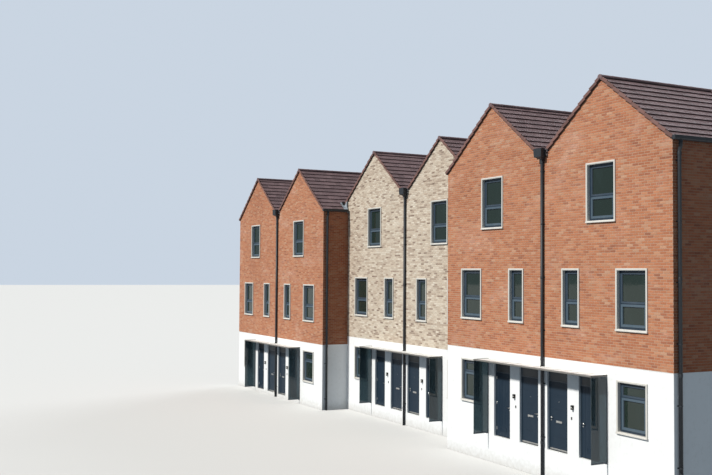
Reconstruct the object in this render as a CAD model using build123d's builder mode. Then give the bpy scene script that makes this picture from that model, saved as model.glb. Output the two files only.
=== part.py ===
from build123d import *
import os
from math import tan, radians, cos

os.makedirs("parts", exist_ok=True)

# ----------------------------------------------------------------------
# Terraced house row: three mirrored pairs of three-storey gabled houses,
# stepped in plan and stepped down a slope.  Millimetres, +X along the row
# towards the highest pair, the street fronts face -Y, +Z up.  The origin is
# at the middle of the plan, on the lowest ground.
# ----------------------------------------------------------------------

# row layout
pair_pitch = 10650        # centre to centre of neighbouring pairs
pair_half = 5400          # centre line to the outer wall face, end pairs
mid_half = 5250           # centre line to the party walls, middle pair
set_back = 1300           # middle pair stands this far behind the others
level_step = 375          # rise of the floors from pair to pair (5 courses)
plinth = 150              # lowest ground to the lowest ground floor
house_depth = 7100        # outer face to outer face
front_y = -3978.5         # outer face of the forward fronts

# walls and floors
wall = 300                # outer walls
party = 250               # party wall inside a pair
floor_t = 250
storey = 3120             # floor to floor
render_top = 2850         # ground floor to the render / brick line
band_z = 2470             # head of doors and ground-floor windows

# roof
pitch_deg = 37.5
apex_x = 2700             # ridge from the pair's centre line
apex_z = render_top + 8182    # top of the brick at the apex
roof_v = 195              # roof thickness measured vertically
verge = 75                # roof in front of the brick
ridge_y = 4400            # ridge length, front face to the rear hip
valley_x = 280            # roof edge from the centre line at the valley
slope = tan(radians(pitch_deg))
eaves_z = apex_z - apex_x * slope   # brick top at the outer wall face
pair_valley = 5080        # valley between pairs, right of a pair's centre

# windows (outside sizes of the projecting surrounds), one house
win_h = 1770
wide_w, narrow_w, top_w = 1220, 790, 1220
wide_x, narrow_x, top_x = 3885, 1337, 2660
first_z = render_top + 1005
second_z = render_top + 4120
ground_w, ground_z = 1180, 970
lower_top_shift = -300    # far left house: top window off the apex line
surround_face = 65
surround_out = 45         # surround stands out of the brick
surround_in = 122
frame_face = 55
frame_y0, frame_y1 = 45, 105
glass_y0, glass_y1 = 105, 117
transom_h = 85
transom_up = 0.43          # transom height as a share of the window

# doors
outer_x0, outer_x1 = 1680, 2560      # store doorway from the centre line
inner_x0, inner_x1 = 220, 1170       # front doorway
jamb = 45
jamb_y0, jamb_y1 = 60, 150
leaf_y0, leaf_t = 75, 44
leaf_gap = 7
leaf_z0, leaf_z1 = 24, 2122
threshold_h = 17
door_head = 2130
handle_z = 1020

# canopy and screens
canopy_half = 2900
canopy_out = 620
canopy_z0, canopy_z1 = 2520, 2610
screen_t = 20
screen_z0 = 60

# rainwater goods
gutter_w, gutter_h = 115, 110
pipe_r = 50
pipe_off = 70             # pipe centre from the wall face
hopper_w, hopper_d = 380, 160
eaves_over = 60           # tiles beyond the wall face
hip_gap = 2               # joint along the hips and ridge
cap_half = 125            # ridge and hip cappings: half width,
cap_rise = 62             # height over the tiles at the crown
cap_edge = 20             # and at the sides

pairs = [
    ("lower", -pair_pitch, front_y, plinth, pair_half),
    ("middle", 0, front_y + set_back, plinth + level_step, mid_half),
    ("upper", pair_pitch, front_y, plinth + 2 * level_step, pair_half),
]


def save(part, name):
    part.label = name
    export_step(part, f"parts/{name}.step")


# the outer faces of the seven cross walls, left to right
cross_x = []
for name, cx, fy, fz, half in pairs:
    cross_x.append((cx - party / 2, cx + party / 2))
end_l = (-pair_pitch - pair_half, -pair_pitch - pair_half + wall)
end_r = (pair_pitch + pair_half - wall, pair_pitch + pair_half)
between_l = (-mid_half - wall, -mid_half)
between_r = (mid_half, mid_half + wall)

# clear widths of the six houses: (x0, x1, pair index)
rooms = [
    (end_l[1], cross_x[0][0], 0), (cross_x[0][1], between_l[0], 0),
    (between_l[1], cross_x[1][0], 1), (cross_x[1][1], between_r[0], 1),
    (between_r[1], cross_x[2][0], 2), (cross_x[2][1], end_r[0], 2),
]

# ----------------------------------------------------------------------
# bases: filled footings up to each ground floor, down to the lowest ground
# ----------------------------------------------------------------------
with BuildPart() as ground_bases:
    for i, (x0, x1, k) in enumerate(rooms):
        name, cx, fy, fz, half = pairs[k]
        with BuildSketch(Plane.XY):
            with Locations(((x0 + x1) / 2, fy + house_depth / 2)):
                Rectangle(x1 - x0, house_depth)
        extrude(amount=fz)
save(ground_bases.part, "ground_bases")

# ----------------------------------------------------------------------
# ground-floor fronts: rendered piers beside the doorways and windows
# ----------------------------------------------------------------------
for name, cx, fy, fz, half in pairs:
    with BuildPart() as ground_front:
        with BuildSketch(Plane.XZ.offset(-(fy + wall))):
            # piers between and beside the doors
            with Locations((cx, fz + band_z / 2)):
                Rectangle(2 * inner_x0, band_z)
            for s in (-1, 1):
                with Locations((cx + s * (inner_x1 + outer_x0) / 2, fz + band_z / 2)):
                    Rectangle(outer_x0 - inner_x1, band_z)
                with Locations((cx + s * (outer_x1 + half) / 2, fz + band_z / 2)):
                    Rectangle(half - outer_x1, band_z)
                with Locations((cx + s * wide_x, fz + (ground_z + band_z) / 2)):
                    Rectangle(ground_w, band_z - ground_z, mode=Mode.SUBTRACT)
        extrude(amount=wall)
    save(ground_front.part, f"{name}_ground_front")

# rendered band over the doors and ground-floor windows
with BuildPart() as render_bands:
    for name, cx, fy, fz, half in pairs:
        with BuildSketch(Plane.XZ.offset(-(fy + wall))):
            with Locations((cx, fz + (band_z + render_top) / 2)):
                Rectangle(2 * half, render_top - band_z)
        extrude(amount=wall)
save(render_bands.part, "render_bands")

# ----------------------------------------------------------------------
# upper fronts: brick with two gables each and six window openings
# ----------------------------------------------------------------------
for name, cx, fy, fz, half in pairs:
    valley_top = apex_z - (apex_x - valley_x) * slope
    left_top = apex_z - (half - apex_x) * slope
    with BuildPart() as front_brick:
        with BuildSketch(Plane.XZ.offset(-(fy + wall))):
            with BuildLine():
                if name == "middle":
                    # right end is tucked under the upper pair's eaves
                    cut = apex_z - 6400 - render_top
                    xr = apex_x + cut / slope
                    Polyline(
                        (cx - half, fz + render_top), (cx - half, fz + left_top),
                        (cx - apex_x, fz + apex_z), (cx - valley_x, fz + valley_top),
                        (cx + valley_x, fz + valley_top), (cx + apex_x, fz + apex_z),
                        (cx + xr, fz + render_top + 6400), (cx + half, fz + render_top + 6400),
                        (cx + half, fz + render_top), close=True)
                else:
                    Polyline(
                        (cx - half, fz + render_top), (cx - half, fz + left_top),
                        (cx - apex_x, fz + apex_z), (cx - valley_x, fz + valley_top),
                        (cx + valley_x, fz + valley_top), (cx + apex_x, fz + apex_z),
                        (cx + half, fz + left_top), (cx + half, fz + render_top), close=True)
            make_face()
            for s in (-1, 1):
                shift = lower_top_shift if (name == "lower" and s < 0) else 0
                with Locations((cx + s * wide_x, fz + first_z + win_h / 2)):
                    Rectangle(wide_w, win_h, mode=Mode.SUBTRACT)
                with Locations((cx + s * narrow_x, fz + first_z + win_h / 2)):
                    Rectangle(narrow_w, win_h, mode=Mode.SUBTRACT)
                with Locations((cx + s * top_x + shift, fz + second_z + win_h / 2)):
                    Rectangle(top_w, win_h, mode=Mode.SUBTRACT)
        extrude(amount=wall)
    save(front_brick.part, f"{name}_front_brick")

# ----------------------------------------------------------------------
# rear walls: one per house between the cross walls, same storeys
# ----------------------------------------------------------------------
for k, (name, cx, fy, fz, half) in enumerate(pairs):
    ry = fy + house_depth
    with BuildPart() as rear_wall:
        with BuildSketch(Plane.XZ.offset(-ry)):
            for (x0, x1, kk) in rooms:
                if kk != k:
                    continue
                with Locations(((x0 + x1) / 2, fz + eaves_z / 2)):
                    Rectangle(x1 - x0, eaves_z)
            for s in (-1, 1):
                for (wx, ww, wz, wh) in (
                        (wide_x, ground_w, ground_z, band_z - ground_z),
                        (narrow_x, narrow_w, ground_z, band_z - ground_z),
                        (wide_x, wide_w, first_z, win_h),
                        (narrow_x, narrow_w, first_z, win_h),
                        (top_x, top_w, second_z, win_h)):
                    with Locations((cx + s * wx, fz + wz + wh / 2)):
                        Rectangle(ww, wh, mode=Mode.SUBTRACT)
        extrude(amount=wall)
    save(rear_wall.part, f"{name}_rear_wall")

# ----------------------------------------------------------------------
# cross walls: two plain ends, two between pairs, three inside pairs
# ----------------------------------------------------------------------


def under_roof(k, x):
    """height of the underside of pair k's roof above x"""
    name, cx, fy, fz, half = pairs[k]
    return fz + apex_z - (abs(abs(x - cx) - apex_x)) * slope


fz0, fz1, fz2 = pairs[0][3], pairs[1][3], pairs[2][3]
fya, fyb = front_y, front_y + set_back
rya, ryb = fya + house_depth, fyb + house_depth

# ends: gable-shaped top in section, cut back under the rear hip; their feet
# run forward under the corners of the front walls
with BuildPart() as end_left:
    with BuildSketch(Plane.XZ.offset(-rya)):
        with BuildLine():
            Polyline((end_l[0], 0), (end_l[0], under_roof(0, end_l[0])),
                     (end_l[1], under_roof(0, end_l[1])), (end_l[1], 0), close=True)
        make_face()
    extrude(amount=house_depth - wall)
    with BuildSketch(Plane.XY):
        with Locations(((end_l[0] + end_l[1]) / 2, fya + wall / 2)):
            Rectangle(wall, wall)
    extrude(amount=fz0)
    with BuildSketch(Plane.YZ.offset(end_l[0] - 10)):
        with BuildLine():
            Polyline((rya, fz0 + eaves_z), (rya - 2000, fz0 + eaves_z + 2000 * slope),
                     (rya, fz0 + eaves_z + 2000 * slope), close=True)
        make_face()
    extrude(amount=wall + 20, mode=Mode.SUBTRACT)

with BuildPart() as end_right:
    with BuildSketch(Plane.XZ.offset(-rya)):
        with BuildLine():
            Polyline((end_r[0], 0), (end_r[0], under_roof(2, end_r[0])),
                     (end_r[1], under_roof(2, end_r[1])), (end_r[1], 0), close=True)
        make_face()
    extrude(amount=house_depth - wall)
    with BuildSketch(Plane.XY):
        with Locations(((end_r[0] + end_r[1]) / 2, fya + wall / 2)):
            Rectangle(wall, wall)
    extrude(amount=fz2)
    with BuildSketch(Plane.YZ.offset(end_r[0] - 10)):
        with BuildLine():
            Polyline((rya, fz2 + eaves_z), (rya - 2000, fz2 + eaves_z + 2000 * slope),
                     (rya, fz2 + eaves_z + 2000 * slope), close=True)
        make_face()
    extrude(amount=wall + 20, mode=Mode.SUBTRACT)

# between lower and middle: under the lower roof in front of the middle
# front, under the middle roof behind it
with BuildPart() as between_left:
    with BuildSketch(Plane.XZ.offset(-fyb)):
        with BuildLine():
            Polyline((between_l[0], 0), (between_l[0], under_roof(0, between_l[0])),
                     (between_l[1], under_roof(0, between_l[1])), (between_l[1], 0), close=True)
        make_face()
    extrude(amount=set_back - wall)
    with BuildSketch(Plane.XY):
        with Locations(((between_l[0] + between_l[1]) / 2, fya + wall / 2)):
            Rectangle(wall, wall)
    extrude(amount=fz0)
    with BuildSketch(Plane.XZ.offset(-ryb)):
        with BuildLine():
            Polyline((between_l[0], 0), (between_l[0], under_roof(1, between_l[0])),
                     (between_l[1], under_roof(1, between_l[1])), (between_l[1], 0), close=True)
        make_face()
    extrude(amount=house_depth)
    with BuildSketch(Plane.YZ.offset(between_l[0] - 10)):
        with BuildLine():
            Polyline((ryb, fz1 + eaves_z), (ryb - 2000, fz1 + eaves_z + 2000 * slope),
                     (ryb, fz1 + eaves_z + 2000 * slope), close=True)
        make_face()
    extrude(amount=wall + 20, mode=Mode.SUBTRACT)

# between middle and upper: under the upper roof, then under the middle
# roof where the middle rear stands further back
with BuildPart() as between_right:
    with BuildSketch(Plane.XZ.offset(-rya)):
        with BuildLine():
            Polyline((between_r[0], 0), (between_r[0], under_roof(2, between_r[0])),
                     (between_r[1], under_roof(2, between_r[1])), (between_r[1], 0), close=True)
        make_face()
    extrude(amount=house_depth - wall)
    with BuildSketch(Plane.XY):
        with Locations(((between_r[0] + between_r[1]) / 2, fya + wall / 2)):
            Rectangle(wall, wall)
    extrude(amount=fz2)
    with BuildSketch(Plane.YZ.offset(between_r[0] - 10)):
        with BuildLine():
            Polyline((rya, fz2 + eaves_z), (rya - 2000, fz2 + eaves_z + 2000 * slope),
                     (rya, fz2 + eaves_z + 2000 * slope), close=True)
        make_face()
    extrude(amount=wall + 20, mode=Mode.SUBTRACT)
    with BuildSketch(Plane.XZ.offset(-ryb)):
        with BuildLine():
            Polyline((between_r[0], 0), (between_r[0], under_roof(1, between_r[0])),
                     (between_r[1], under_roof(1, between_r[1])), (between_r[1], 0), close=True)
        make_face()
    extrude(amount=set_back)
    with BuildSketch(Plane.YZ.offset(between_r[0] - 10)):
        with BuildLine():
            Polyline((ryb, fz1 + eaves_z), (ryb - 1300, fz1 + eaves_z + 1300 * slope),
                     (ryb, fz1 + eaves_z + 1300 * slope), close=True)
        make_face()
    extrude(amount=wall + 20, mode=Mode.SUBTRACT)

party_top = apex_z - (apex_x - valley_x) * slope
with BuildPart() as cross_walls:
    for k, (name, cx, fy, fz, half) in enumerate(pairs):
        with BuildSketch(Plane.XY):
            with Locations((cx, fy + house_depth / 2)):
                Rectangle(party, house_depth)
        extrude(amount=fz)
        with BuildSketch(Plane.XY.offset(fz)):
            with Locations((cx, fy + house_depth / 2 + wall / 2)):
                Rectangle(party, house_depth - wall)
        extrude(amount=eaves_z)
        with BuildSketch(Plane.XY.offset(fz + eaves_z)):
            with Locations((cx, fy + wall + (house_depth - 2 * wall) / 2)):
                Rectangle(party, house_depth - 2 * wall)
        extrude(amount=party_top - eaves_z - 10)
    add(end_left.part)
    add(end_right.part)
    add(between_left.part)
    add(between_right.part)
save(cross_walls.part, "cross_walls")

# ----------------------------------------------------------------------
# upper floors
# ----------------------------------------------------------------------
with BuildPart() as upper_floors:
    for (x0, x1, k) in rooms:
        name, cx, fy, fz, half = pairs[k]
        for n in (1, 2):
            with BuildSketch(Plane.XY.offset(fz + n * storey - floor_t)):
                with Locations(((x0 + x1) / 2, fy + house_depth / 2)):
                    Rectangle(x1 - x0, house_depth - 2 * wall)
            extrude(amount=floor_t)
save(upper_floors.part, "upper_floors")

# ----------------------------------------------------------------------
# roof planes.  Every house has a left slope, a right slope and a rear hip,
# each a flat plate.  A slope starts as a long plate and is cut in plan
# along the hip and, between the pairs, along the valley.
# ----------------------------------------------------------------------
hip_reach = 4000
plate_base = eaves_z - 1500
left_plates, right_plates, hip_plates = [], [], []

for k, (name, cx, fy, fz, half) in enumerate(pairs):
    ye = fy + house_depth + eaves_over
    hy = fy + ridge_y
    ys = fy - verge
    turn = rya + eaves_over + 5      # behind the neighbours' rear eaves
    for h in (-1, 1):
        rx = cx + h * apex_x         # ridge line of this house
        # plan lengths of each slope: (y from, y to, x of the lower edge)
        if h < 0:
            right_run = [(ys, ye, cx - valley_x)]
            if k == 0:
                left_run = [(ys, ye, cx - half - eaves_over)]
            elif k == 1:
                left_run = [(ys, turn, pairs[0][1] + pair_valley + 80),
                            (turn, ye, cx - half - wall - eaves_over)]
            else:
                left_run = [(ys, ye, pairs[1][1] + pair_valley + 80)]
        else:
            left_run = [(ys, ye, cx + valley_x)]
            if k == 0:
                right_run = [(ys, fyb - verge - 5, cx + half + eaves_over),
                             (fyb - verge - 5, ye, cx + pair_valley - 80)]
            elif k == 1:
                right_run = [(ys, turn, cx + pair_valley - 80),
                             (turn, ye, cx + half + wall + eaves_over)]
            else:
                right_run = [(ys, ye, cx + half + eaves_over)]
        for s, runs, plates in ((-1, left_run, left_plates), (1, right_run, right_plates)):
            far = max(s * r[2] for r in runs) * s
            top = fz + apex_z
            drop = abs(far - rx) * slope
            with BuildPart() as plate:
                with BuildSketch(Plane.XZ.offset(-ye)):
                    with BuildLine():
                        Polyline((rx + s * hip_gap, top), (far, top - drop),
                                 (far, top - drop + roof_v), (rx + s * hip_gap, top + roof_v),
                                 close=True)
                    make_face()
                extrude(amount=ye - ys)
                # behind the hip
                with BuildSketch(Plane.XY.offset(fz + plate_base)):
                    with BuildLine():
                        Polyline((rx - s * 100, hy - 100 - hip_gap),
                                 (rx + s * hip_reach, hy + hip_reach - hip_gap),
                                 (rx + s * hip_reach, hy + 2 * hip_reach),
                                 (rx - s * 100, hy + 2 * hip_reach), close=True)
                    make_face()
                extrude(amount=5000, mode=Mode.SUBTRACT)
                # shorter lengths of the lower edge
                for (ya, yb, xe) in runs:
                    if abs(far - xe) > 1:
                        with BuildSketch(Plane.XY.offset(fz + plate_base)):
                            with Locations(((far + s * 50 + xe) / 2, (ya + yb) / 2)):
                                Rectangle(abs(far + s * 50 - xe), yb - ya + 0.01)
                        extrude(amount=5000, mode=Mode.SUBTRACT)
            plates.append(plate.part)
        # rear hip
        out_x = rx + h * (ye - hy)
        if k == 0 and h > 0:
            out_x = between_l[0] - 3     # stops against the party wall
        with BuildPart() as hip:
            with BuildSketch(Plane.YZ.offset(rx - hip_reach)):
                with BuildLine():
                    Polyline((hy, fz + apex_z), (ye, fz + apex_z - (ye - hy) * slope),
                             (ye, fz + apex_z - (ye - hy) * slope + roof_v),
                             (hy, fz + apex_z + roof_v), close=True)
                make_face()
            extrude(amount=2 * hip_reach)
            with BuildSketch(Plane.XY.offset(fz + plate_base)):
                with BuildLine():
                    if k == 0 and h > 0:
                        Polyline((rx, hy), (out_x, hy + abs(out_x - rx)), (out_x, ye + 5),
                                 (cx + h * 2, ye + 5), (cx + h * 2, hy + apex_x - 2), close=True)
                    else:
                        Polyline((rx, hy), (out_x + h * 5, ye + 5),
                                 (cx + h * 2, ye + 5), (cx + h * 2, hy + apex_x - 2), close=True)
                make_face()
            extrude(amount=5000, mode=Mode.INTERSECT)
        hip_plates.append(hip.part)

with BuildPart() as roof_left_slopes:
    for p in left_plates:
        add(p)
save(roof_left_slopes.part, "roof_left_slopes")

with BuildPart() as roof_right_slopes:
    for p in right_plates:
        add(p)
save(roof_right_slopes.part, "roof_right_slopes")

with BuildPart() as roof_rear_hips:
    for p in hip_plates:
        add(p)
save(roof_rear_hips.part, "roof_rear_hips")

# ----------------------------------------------------------------------
# ridge and hip cappings, chevrons laid on the roof planes
# ----------------------------------------------------------------------
hip_fall = slope / (2 + slope ** 2) ** 0.5      # cross fall beside a hip line
with BuildPart() as ridge_caps:
    for k, (name, cx, fy, fz, half) in enumerate(pairs):
        top = fz + apex_z + roof_v + 4
        for h in (-1, 1):
            rx = cx + h * apex_x
            hy = fy + ridge_y
            with BuildSketch(Plane.XZ.offset(-hy)):
                with BuildLine():
                    Polyline((rx - cap_half, top - cap_half * slope), (rx, top),
                             (rx + cap_half, top - cap_half * slope),
                             (rx + cap_half, top - cap_half * slope + cap_edge),
                             (rx + cap_half - 45, top + cap_rise - 32), (rx + 28, top + cap_rise),
                             (rx - 28, top + cap_rise), (rx - cap_half + 45, top + cap_rise - 32),
                             (rx - cap_half, top - cap_half * slope + cap_edge), close=True)
                make_face()
            extrude(amount=ridge_y + verge)
save(ridge_caps.part, "ridge_caps")

with BuildPart() as hip_caps:
    for k, (name, cx, fy, fz, half) in enumerate(pairs):
        for h in (-1, 1):
            rx = cx + h * apex_x
            hy = fy + ridge_y
            for s in (-1, 1):
                # plan length of the hip: to the eaves corner, the pair's
                # valley or the wall of the higher neighbour
                run = house_depth + eaves_over - ridge_y - 60
                if s != h:
                    run = apex_x - valley_x - 150
                if k == 0 and h > 0 and s > 0:
                    run = between_l[0] - 3 - rx - 220
                start = 170
                origin = (rx + s * start, hy + start,
                          fz + apex_z + roof_v + 5 - start * slope)
                along = Vector(s, 1, -slope).normalized()
                across = Vector(s, -1, 0).normalized()
                with BuildSketch(Plane(origin=origin, x_dir=across, z_dir=along)):
                    with BuildLine():
                        up = 1 if along.cross(across).Z > 0 else -1
                        drop = cap_half * hip_fall
                        Polyline((-cap_half, -up * drop), (0, 0), (cap_half, -up * drop),
                                 (cap_half, up * (cap_edge - drop)),
                                 (cap_half - 45, up * (cap_rise - 30)), (26, up * cap_rise),
                                 (-26, up * cap_rise), (-cap_half + 45, up * (cap_rise - 30)),
                                 (-cap_half, up * (cap_edge - drop)), close=True)
                    make_face()
                extrude(amount=(run - start) * (2 + slope ** 2) ** 0.5)
save(hip_caps.part, "hip_caps")

# ----------------------------------------------------------------------
# lead-lined valleys: one inside each pair, one between pairs
# ----------------------------------------------------------------------
valley_top = apex_z - (apex_x - valley_x) * slope
with BuildPart() as valley_gutters:
    for name, cx, fy, fz, half in pairs:
        y0, y1 = fy - verge, fy + ridge_y + apex_x - valley_x - 10
        with BuildSketch(Plane.XY.offset(fz + valley_top)):
            with Locations((cx, (y0 + y1) / 2)):
                Rectangle(2 * valley_x - 6, y1 - y0)
        extrude(amount=60)
    for k in (0, 1):
        xv = pairs[k][1] + pair_valley
        zv = pairs[k][3] + apex_z - (pair_valley - 80 - apex_x) * slope
        y0 = fyb - verge
        y1 = rya - 400 if k == 0 else rya + eaves_over
        with BuildSketch(Plane.XY.offset(zv)):
            with Locations((xv, (y0 + y1) / 2)):
                Rectangle(154, y1 - y0)
        extrude(amount=60)
save(valley_gutters.part, "valley_gutters")

# ----------------------------------------------------------------------
# eaves gutters, hoppers and downpipes
# ----------------------------------------------------------------------
edge_under = apex_z - (apex_x + eaves_over) * slope     # roof edge, underside
gut_top = edge_under + 170
gut_z0 = gut_top - gutter_h
gutter_mid = eaves_over + 2 + gutter_w / 2               # gutter centre from the wall

with BuildPart() as eaves_gutters:
    # along the sides: (x of the roof edge, outward sign, y from, y to, floor)
    for xe, s, y0, y1, fz in (
            (-pair_pitch - pair_half - eaves_over, -1, fya - verge, rya + eaves_over, fz0),
            (-pair_pitch + pair_half + eaves_over, 1, fya - verge, fyb - verge - 5, fz0),
            (pair_pitch + pair_half + eaves_over, 1, fya - verge, rya + eaves_over, fz2),
            (pair_valley + 80, -1, fya - verge, fyb - verge - 5, fz2)):     # beside the upper pair
        xc = xe + s * (2 + gutter_w / 2)
        with BuildSketch(Plane.XZ.offset(-y1)):
            with Locations((xc, fz + gut_z0 + gutter_h / 2)):
                Rectangle(gutter_w, gutter_h)
            with Locations((xc, fz + gut_z0 + gutter_h / 2 + 6)):
                Rectangle(gutter_w - 12, gutter_h - 6, mode=Mode.SUBTRACT)
        extrude(amount=y1 - y0)
    # along the rear eaves: (x from, x to, rear face, floor)
    for x0, x1, ry, fz in (
            (-pair_pitch - pair_half - eaves_over, between_l[0] - 3, rya, fz0),
            (between_l[0] - eaves_over, between_r[1] + eaves_over, ryb, fz1),
            (between_r[0] - eaves_over, pair_pitch + pair_half + eaves_over, rya, fz2)):
        yc = ry + eaves_over + 2 + gutter_w / 2
        with BuildSketch(Plane.YZ.offset(x0)):
            with Locations((yc, fz + gut_z0 + gutter_h / 2)):
                Rectangle(gutter_w, gutter_h)
            with Locations((yc, fz + gut_z0 + gutter_h / 2 + 6)):
                Rectangle(gutter_w - 12, gutter_h - 6, mode=Mode.SUBTRACT)
        extrude(amount=x1 - x0)
save(eaves_gutters.part, "eaves_gutters")

hop_z1 = render_top + 6560
hop_z0 = render_top + 6285
hop_out = render_top + 6165
pipe_dx = 60
with BuildPart() as rain_hoppers:
    for name, cx, fy, fz, half in pairs:
        hx = cx + 30
        with BuildSketch(Plane.XY.offset(fz + hop_z0)):
            with Locations((hx, fy - verge - 2 - hopper_d / 2)):
                Rectangle(hopper_w, hopper_d)
        extrude(amount=hop_z1 - hop_z0)
        with BuildSketch(Plane.XY.offset(fz + hop_z1 - 1)):
            with Locations((hx, fy - verge - 2 - hopper_d / 2)):
                Rectangle(hopper_w - 24, hopper_d - 24)
        extrude(amount=-170, mode=Mode.SUBTRACT)
        # back plate to the wall, then the tapered outlet
        with BuildSketch(Plane.XY.offset(fz + hop_z0)):
            with Locations((hx, fy - (verge + 2) / 2)):
                Rectangle(hopper_w, verge + 2)
        extrude(amount=valley_top - hop_z0 - 30)
        with BuildSketch(Plane.XY.offset(fz + hop_z0)):
            with Locations((hx, fy - 118)):
                Rectangle(hopper_w - 60, 220)
        with BuildSketch(Plane.XY.offset(fz + hop_out)):
            with Locations((cx + pipe_dx, fy - pipe_off)):
                Rectangle(2 * pipe_r + 10, 2 * pipe_r + 10)
        loft()
save(rain_hoppers.part, "rain_hoppers")

with BuildPart() as downpipes:
    for k, (name, cx, fy, fz, half) in enumerate(pairs):
        # centre of the front, below the hopper
        with BuildSketch(Plane.XY):
            with Locations((cx + pipe_dx, fy - pipe_off)):
                Circle(pipe_r)
        extrude(amount=fz + hop_out)
        # rear, between the two houses
        with BuildSketch(Plane.XY):
            with Locations((cx + pipe_dx, fy + house_depth + pipe_off)):
                Circle(pipe_r)
        extrude(amount=fz + edge_under - 5)
        # offset out to the gutter and its outlet
        with BuildSketch(Plane.XY.offset(fz + edge_under - 75)):
            with Locations((cx + pipe_dx, fy + house_depth + 95)):
                Rectangle(90, 150)
        extrude(amount=70)
        with BuildSketch(Plane.XY.offset(fz + edge_under - 5)):
            with Locations((cx + pipe_dx, fy + house_depth + gutter_mid)):
                Circle(gutter_w / 2 - 12)
        extrude(amount=gut_z0 - edge_under + 5)
    # corners: (x of the wall face, outward sign, y, floor, roof edge beyond the wall)
    for xw, s, yy, fz, over in (
            (-pair_pitch + pair_half, 1, fya + 180, fz0, eaves_over),
            (pair_pitch + pair_half, 1, fya + 180, fz2, eaves_over),
            (-pair_pitch - pair_half, -1, fya + 180, fz0, eaves_over),
            (between_r[0], -1, fya + 180, fz2, between_r[0] - pair_valley - 80)):
        head = edge_under - (over - eaves_over) * slope - 5
        mid = over + 2 + gutter_w / 2
        with BuildSketch(Plane.XY):
            with Locations((xw + s * pipe_off, yy)):
                Circle(pipe_r)
        extrude(amount=fz + head)
        with BuildSketch(Plane.XY.offset(fz + head - 70)):
            with Locations((xw + s * (20 + mid + 50) / 2, yy)):
                Rectangle(mid + 30, 90)
        extrude(amount=70)
        with BuildSketch(Plane.XY.offset(fz + head)):
            with Locations((xw + s * mid, yy)):
                Circle(gutter_w / 2 - 12)
        extrude(amount=gut_z0 - head)
save(downpipes.part, "downpipes")

# ----------------------------------------------------------------------
# windows: list of (centre x, bottom z, width, height, wall face y, sign)
# sign -1 looks to the street, +1 to the rear
# ----------------------------------------------------------------------
windows = []
for name, cx, fy, fz, half in pairs:
    ry = fy + house_depth
    for s in (-1, 1):
        shift = lower_top_shift if (name == "lower" and s < 0) else 0
        ground_h = band_z - ground_z
        windows += [
            (cx + s * wide_x, fz + ground_z, ground_w, ground_h, fy, -1),
            (cx + s * wide_x, fz + first_z, wide_w, win_h, fy, -1),
            (cx + s * narrow_x, fz + first_z, narrow_w, win_h, fy, -1),
            (cx + s * top_x + shift, fz + second_z, top_w, win_h, fy, -1),
            (cx + s * wide_x, fz + ground_z, ground_w, ground_h, ry, 1),
            (cx + s * narrow_x, fz + ground_z, narrow_w, ground_h, ry, 1),
            (cx + s * wide_x, fz + first_z, wide_w, win_h, ry, 1),
            (cx + s * narrow_x, fz + first_z, narrow_w, win_h, ry, 1),
            (cx + s * top_x, fz + second_z, top_w, win_h, ry, 1),
        ]

with BuildPart() as window_surrounds:
    for wx, wz, ww, wh, yy, s in windows:
        ya = min(yy + s * surround_out, yy - s * surround_in)
        yb = max(yy + s * surround_out, yy - s * surround_in)
        with BuildSketch(Plane.XZ.offset(-yb)):
            with Locations((wx, wz + wh / 2)):
                Rectangle(ww, wh)
                Rectangle(ww - 2 * surround_face, wh - 2 * surround_face, mode=Mode.SUBTRACT)
        extrude(amount=yb - ya)
save(window_surrounds.part, "window_surrounds")

with BuildPart() as window_frames:
    for wx, wz, ww, wh, yy, s in windows:
        ya = min(yy - s * frame_y0, yy - s * frame_y1)
        iw, ih = ww - 2 * surround_face, wh - 2 * surround_face
        up = 0.70 if wh < 1600 else transom_up
        tz = wz + surround_face + up * ih
        lo0, lo1 = wz + surround_face + frame_face, tz - transom_h / 2
        hi0, hi1 = tz + transom_h / 2, wz + wh - surround_face - frame_face
        with BuildSketch(Plane.XZ.offset(-(ya + frame_y1 - frame_y0))):
            with Locations((wx, wz + wh / 2)):
                Rectangle(iw, ih)
            with Locations((wx, (lo0 + lo1) / 2)):
                Rectangle(iw - 2 * frame_face, lo1 - lo0, mode=Mode.SUBTRACT)
            with Locations((wx, (hi0 + hi1) / 2)):
                Rectangle(iw - 2 * frame_face, hi1 - hi0, mode=Mode.SUBTRACT)
        extrude(amount=frame_y1 - frame_y0)
save(window_frames.part, "window_frames")

with BuildPart() as window_glazing:
    for wx, wz, ww, wh, yy, s in windows:
        ya = min(yy - s * glass_y0, yy - s * glass_y1)
        with BuildSketch(Plane.XZ.offset(-(ya + glass_y1 - glass_y0))):
            with Locations((wx, wz + wh / 2)):
                Rectangle(ww - 2 * surround_face, wh - 2 * surround_face)
        extrude(amount=glass_y1 - glass_y0)
save(window_glazing.part, "window_glazing")

# ----------------------------------------------------------------------
# canopies over each group of four doors, with side screens
# ----------------------------------------------------------------------
with BuildPart() as canopies:
    for name, cx, fy, fz, half in pairs:
        with BuildSketch(Plane.XY.offset(fz + canopy_z0)):
            with Locations((cx, fy - canopy_out / 2)):
                Rectangle(2 * canopy_half, canopy_out)
            with Locations((cx + pipe_dx, fy - pipe_off)):
                Circle(pipe_r + 6, mode=Mode.SUBTRACT)
        extrude(amount=canopy_z1 - canopy_z0)
save(canopies.part, "canopies")

with BuildPart() as canopy_screens:
    for name, cx, fy, fz, half in pairs:
        for x0 in (cx - canopy_half, cx + canopy_half - screen_t):
            with BuildSketch(Plane.YZ.offset(x0)):
                with Locations((fy - (canopy_out - 20) / 2, fz + (screen_z0 + canopy_z0) / 2)):
                    Rectangle(canopy_out - 20, canopy_z0 - screen_z0)
                # rounded top corner at the wall
                with Locations((fy - 45, fz + canopy_z0 - 45)):
                    Rectangle(90, 90, mode=Mode.SUBTRACT)
                with Locations((fy - 90, fz + canopy_z0 - 90)):
                    Circle(90)
            extrude(amount=screen_t)
save(canopy_screens.part, "canopy_screens")

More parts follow.
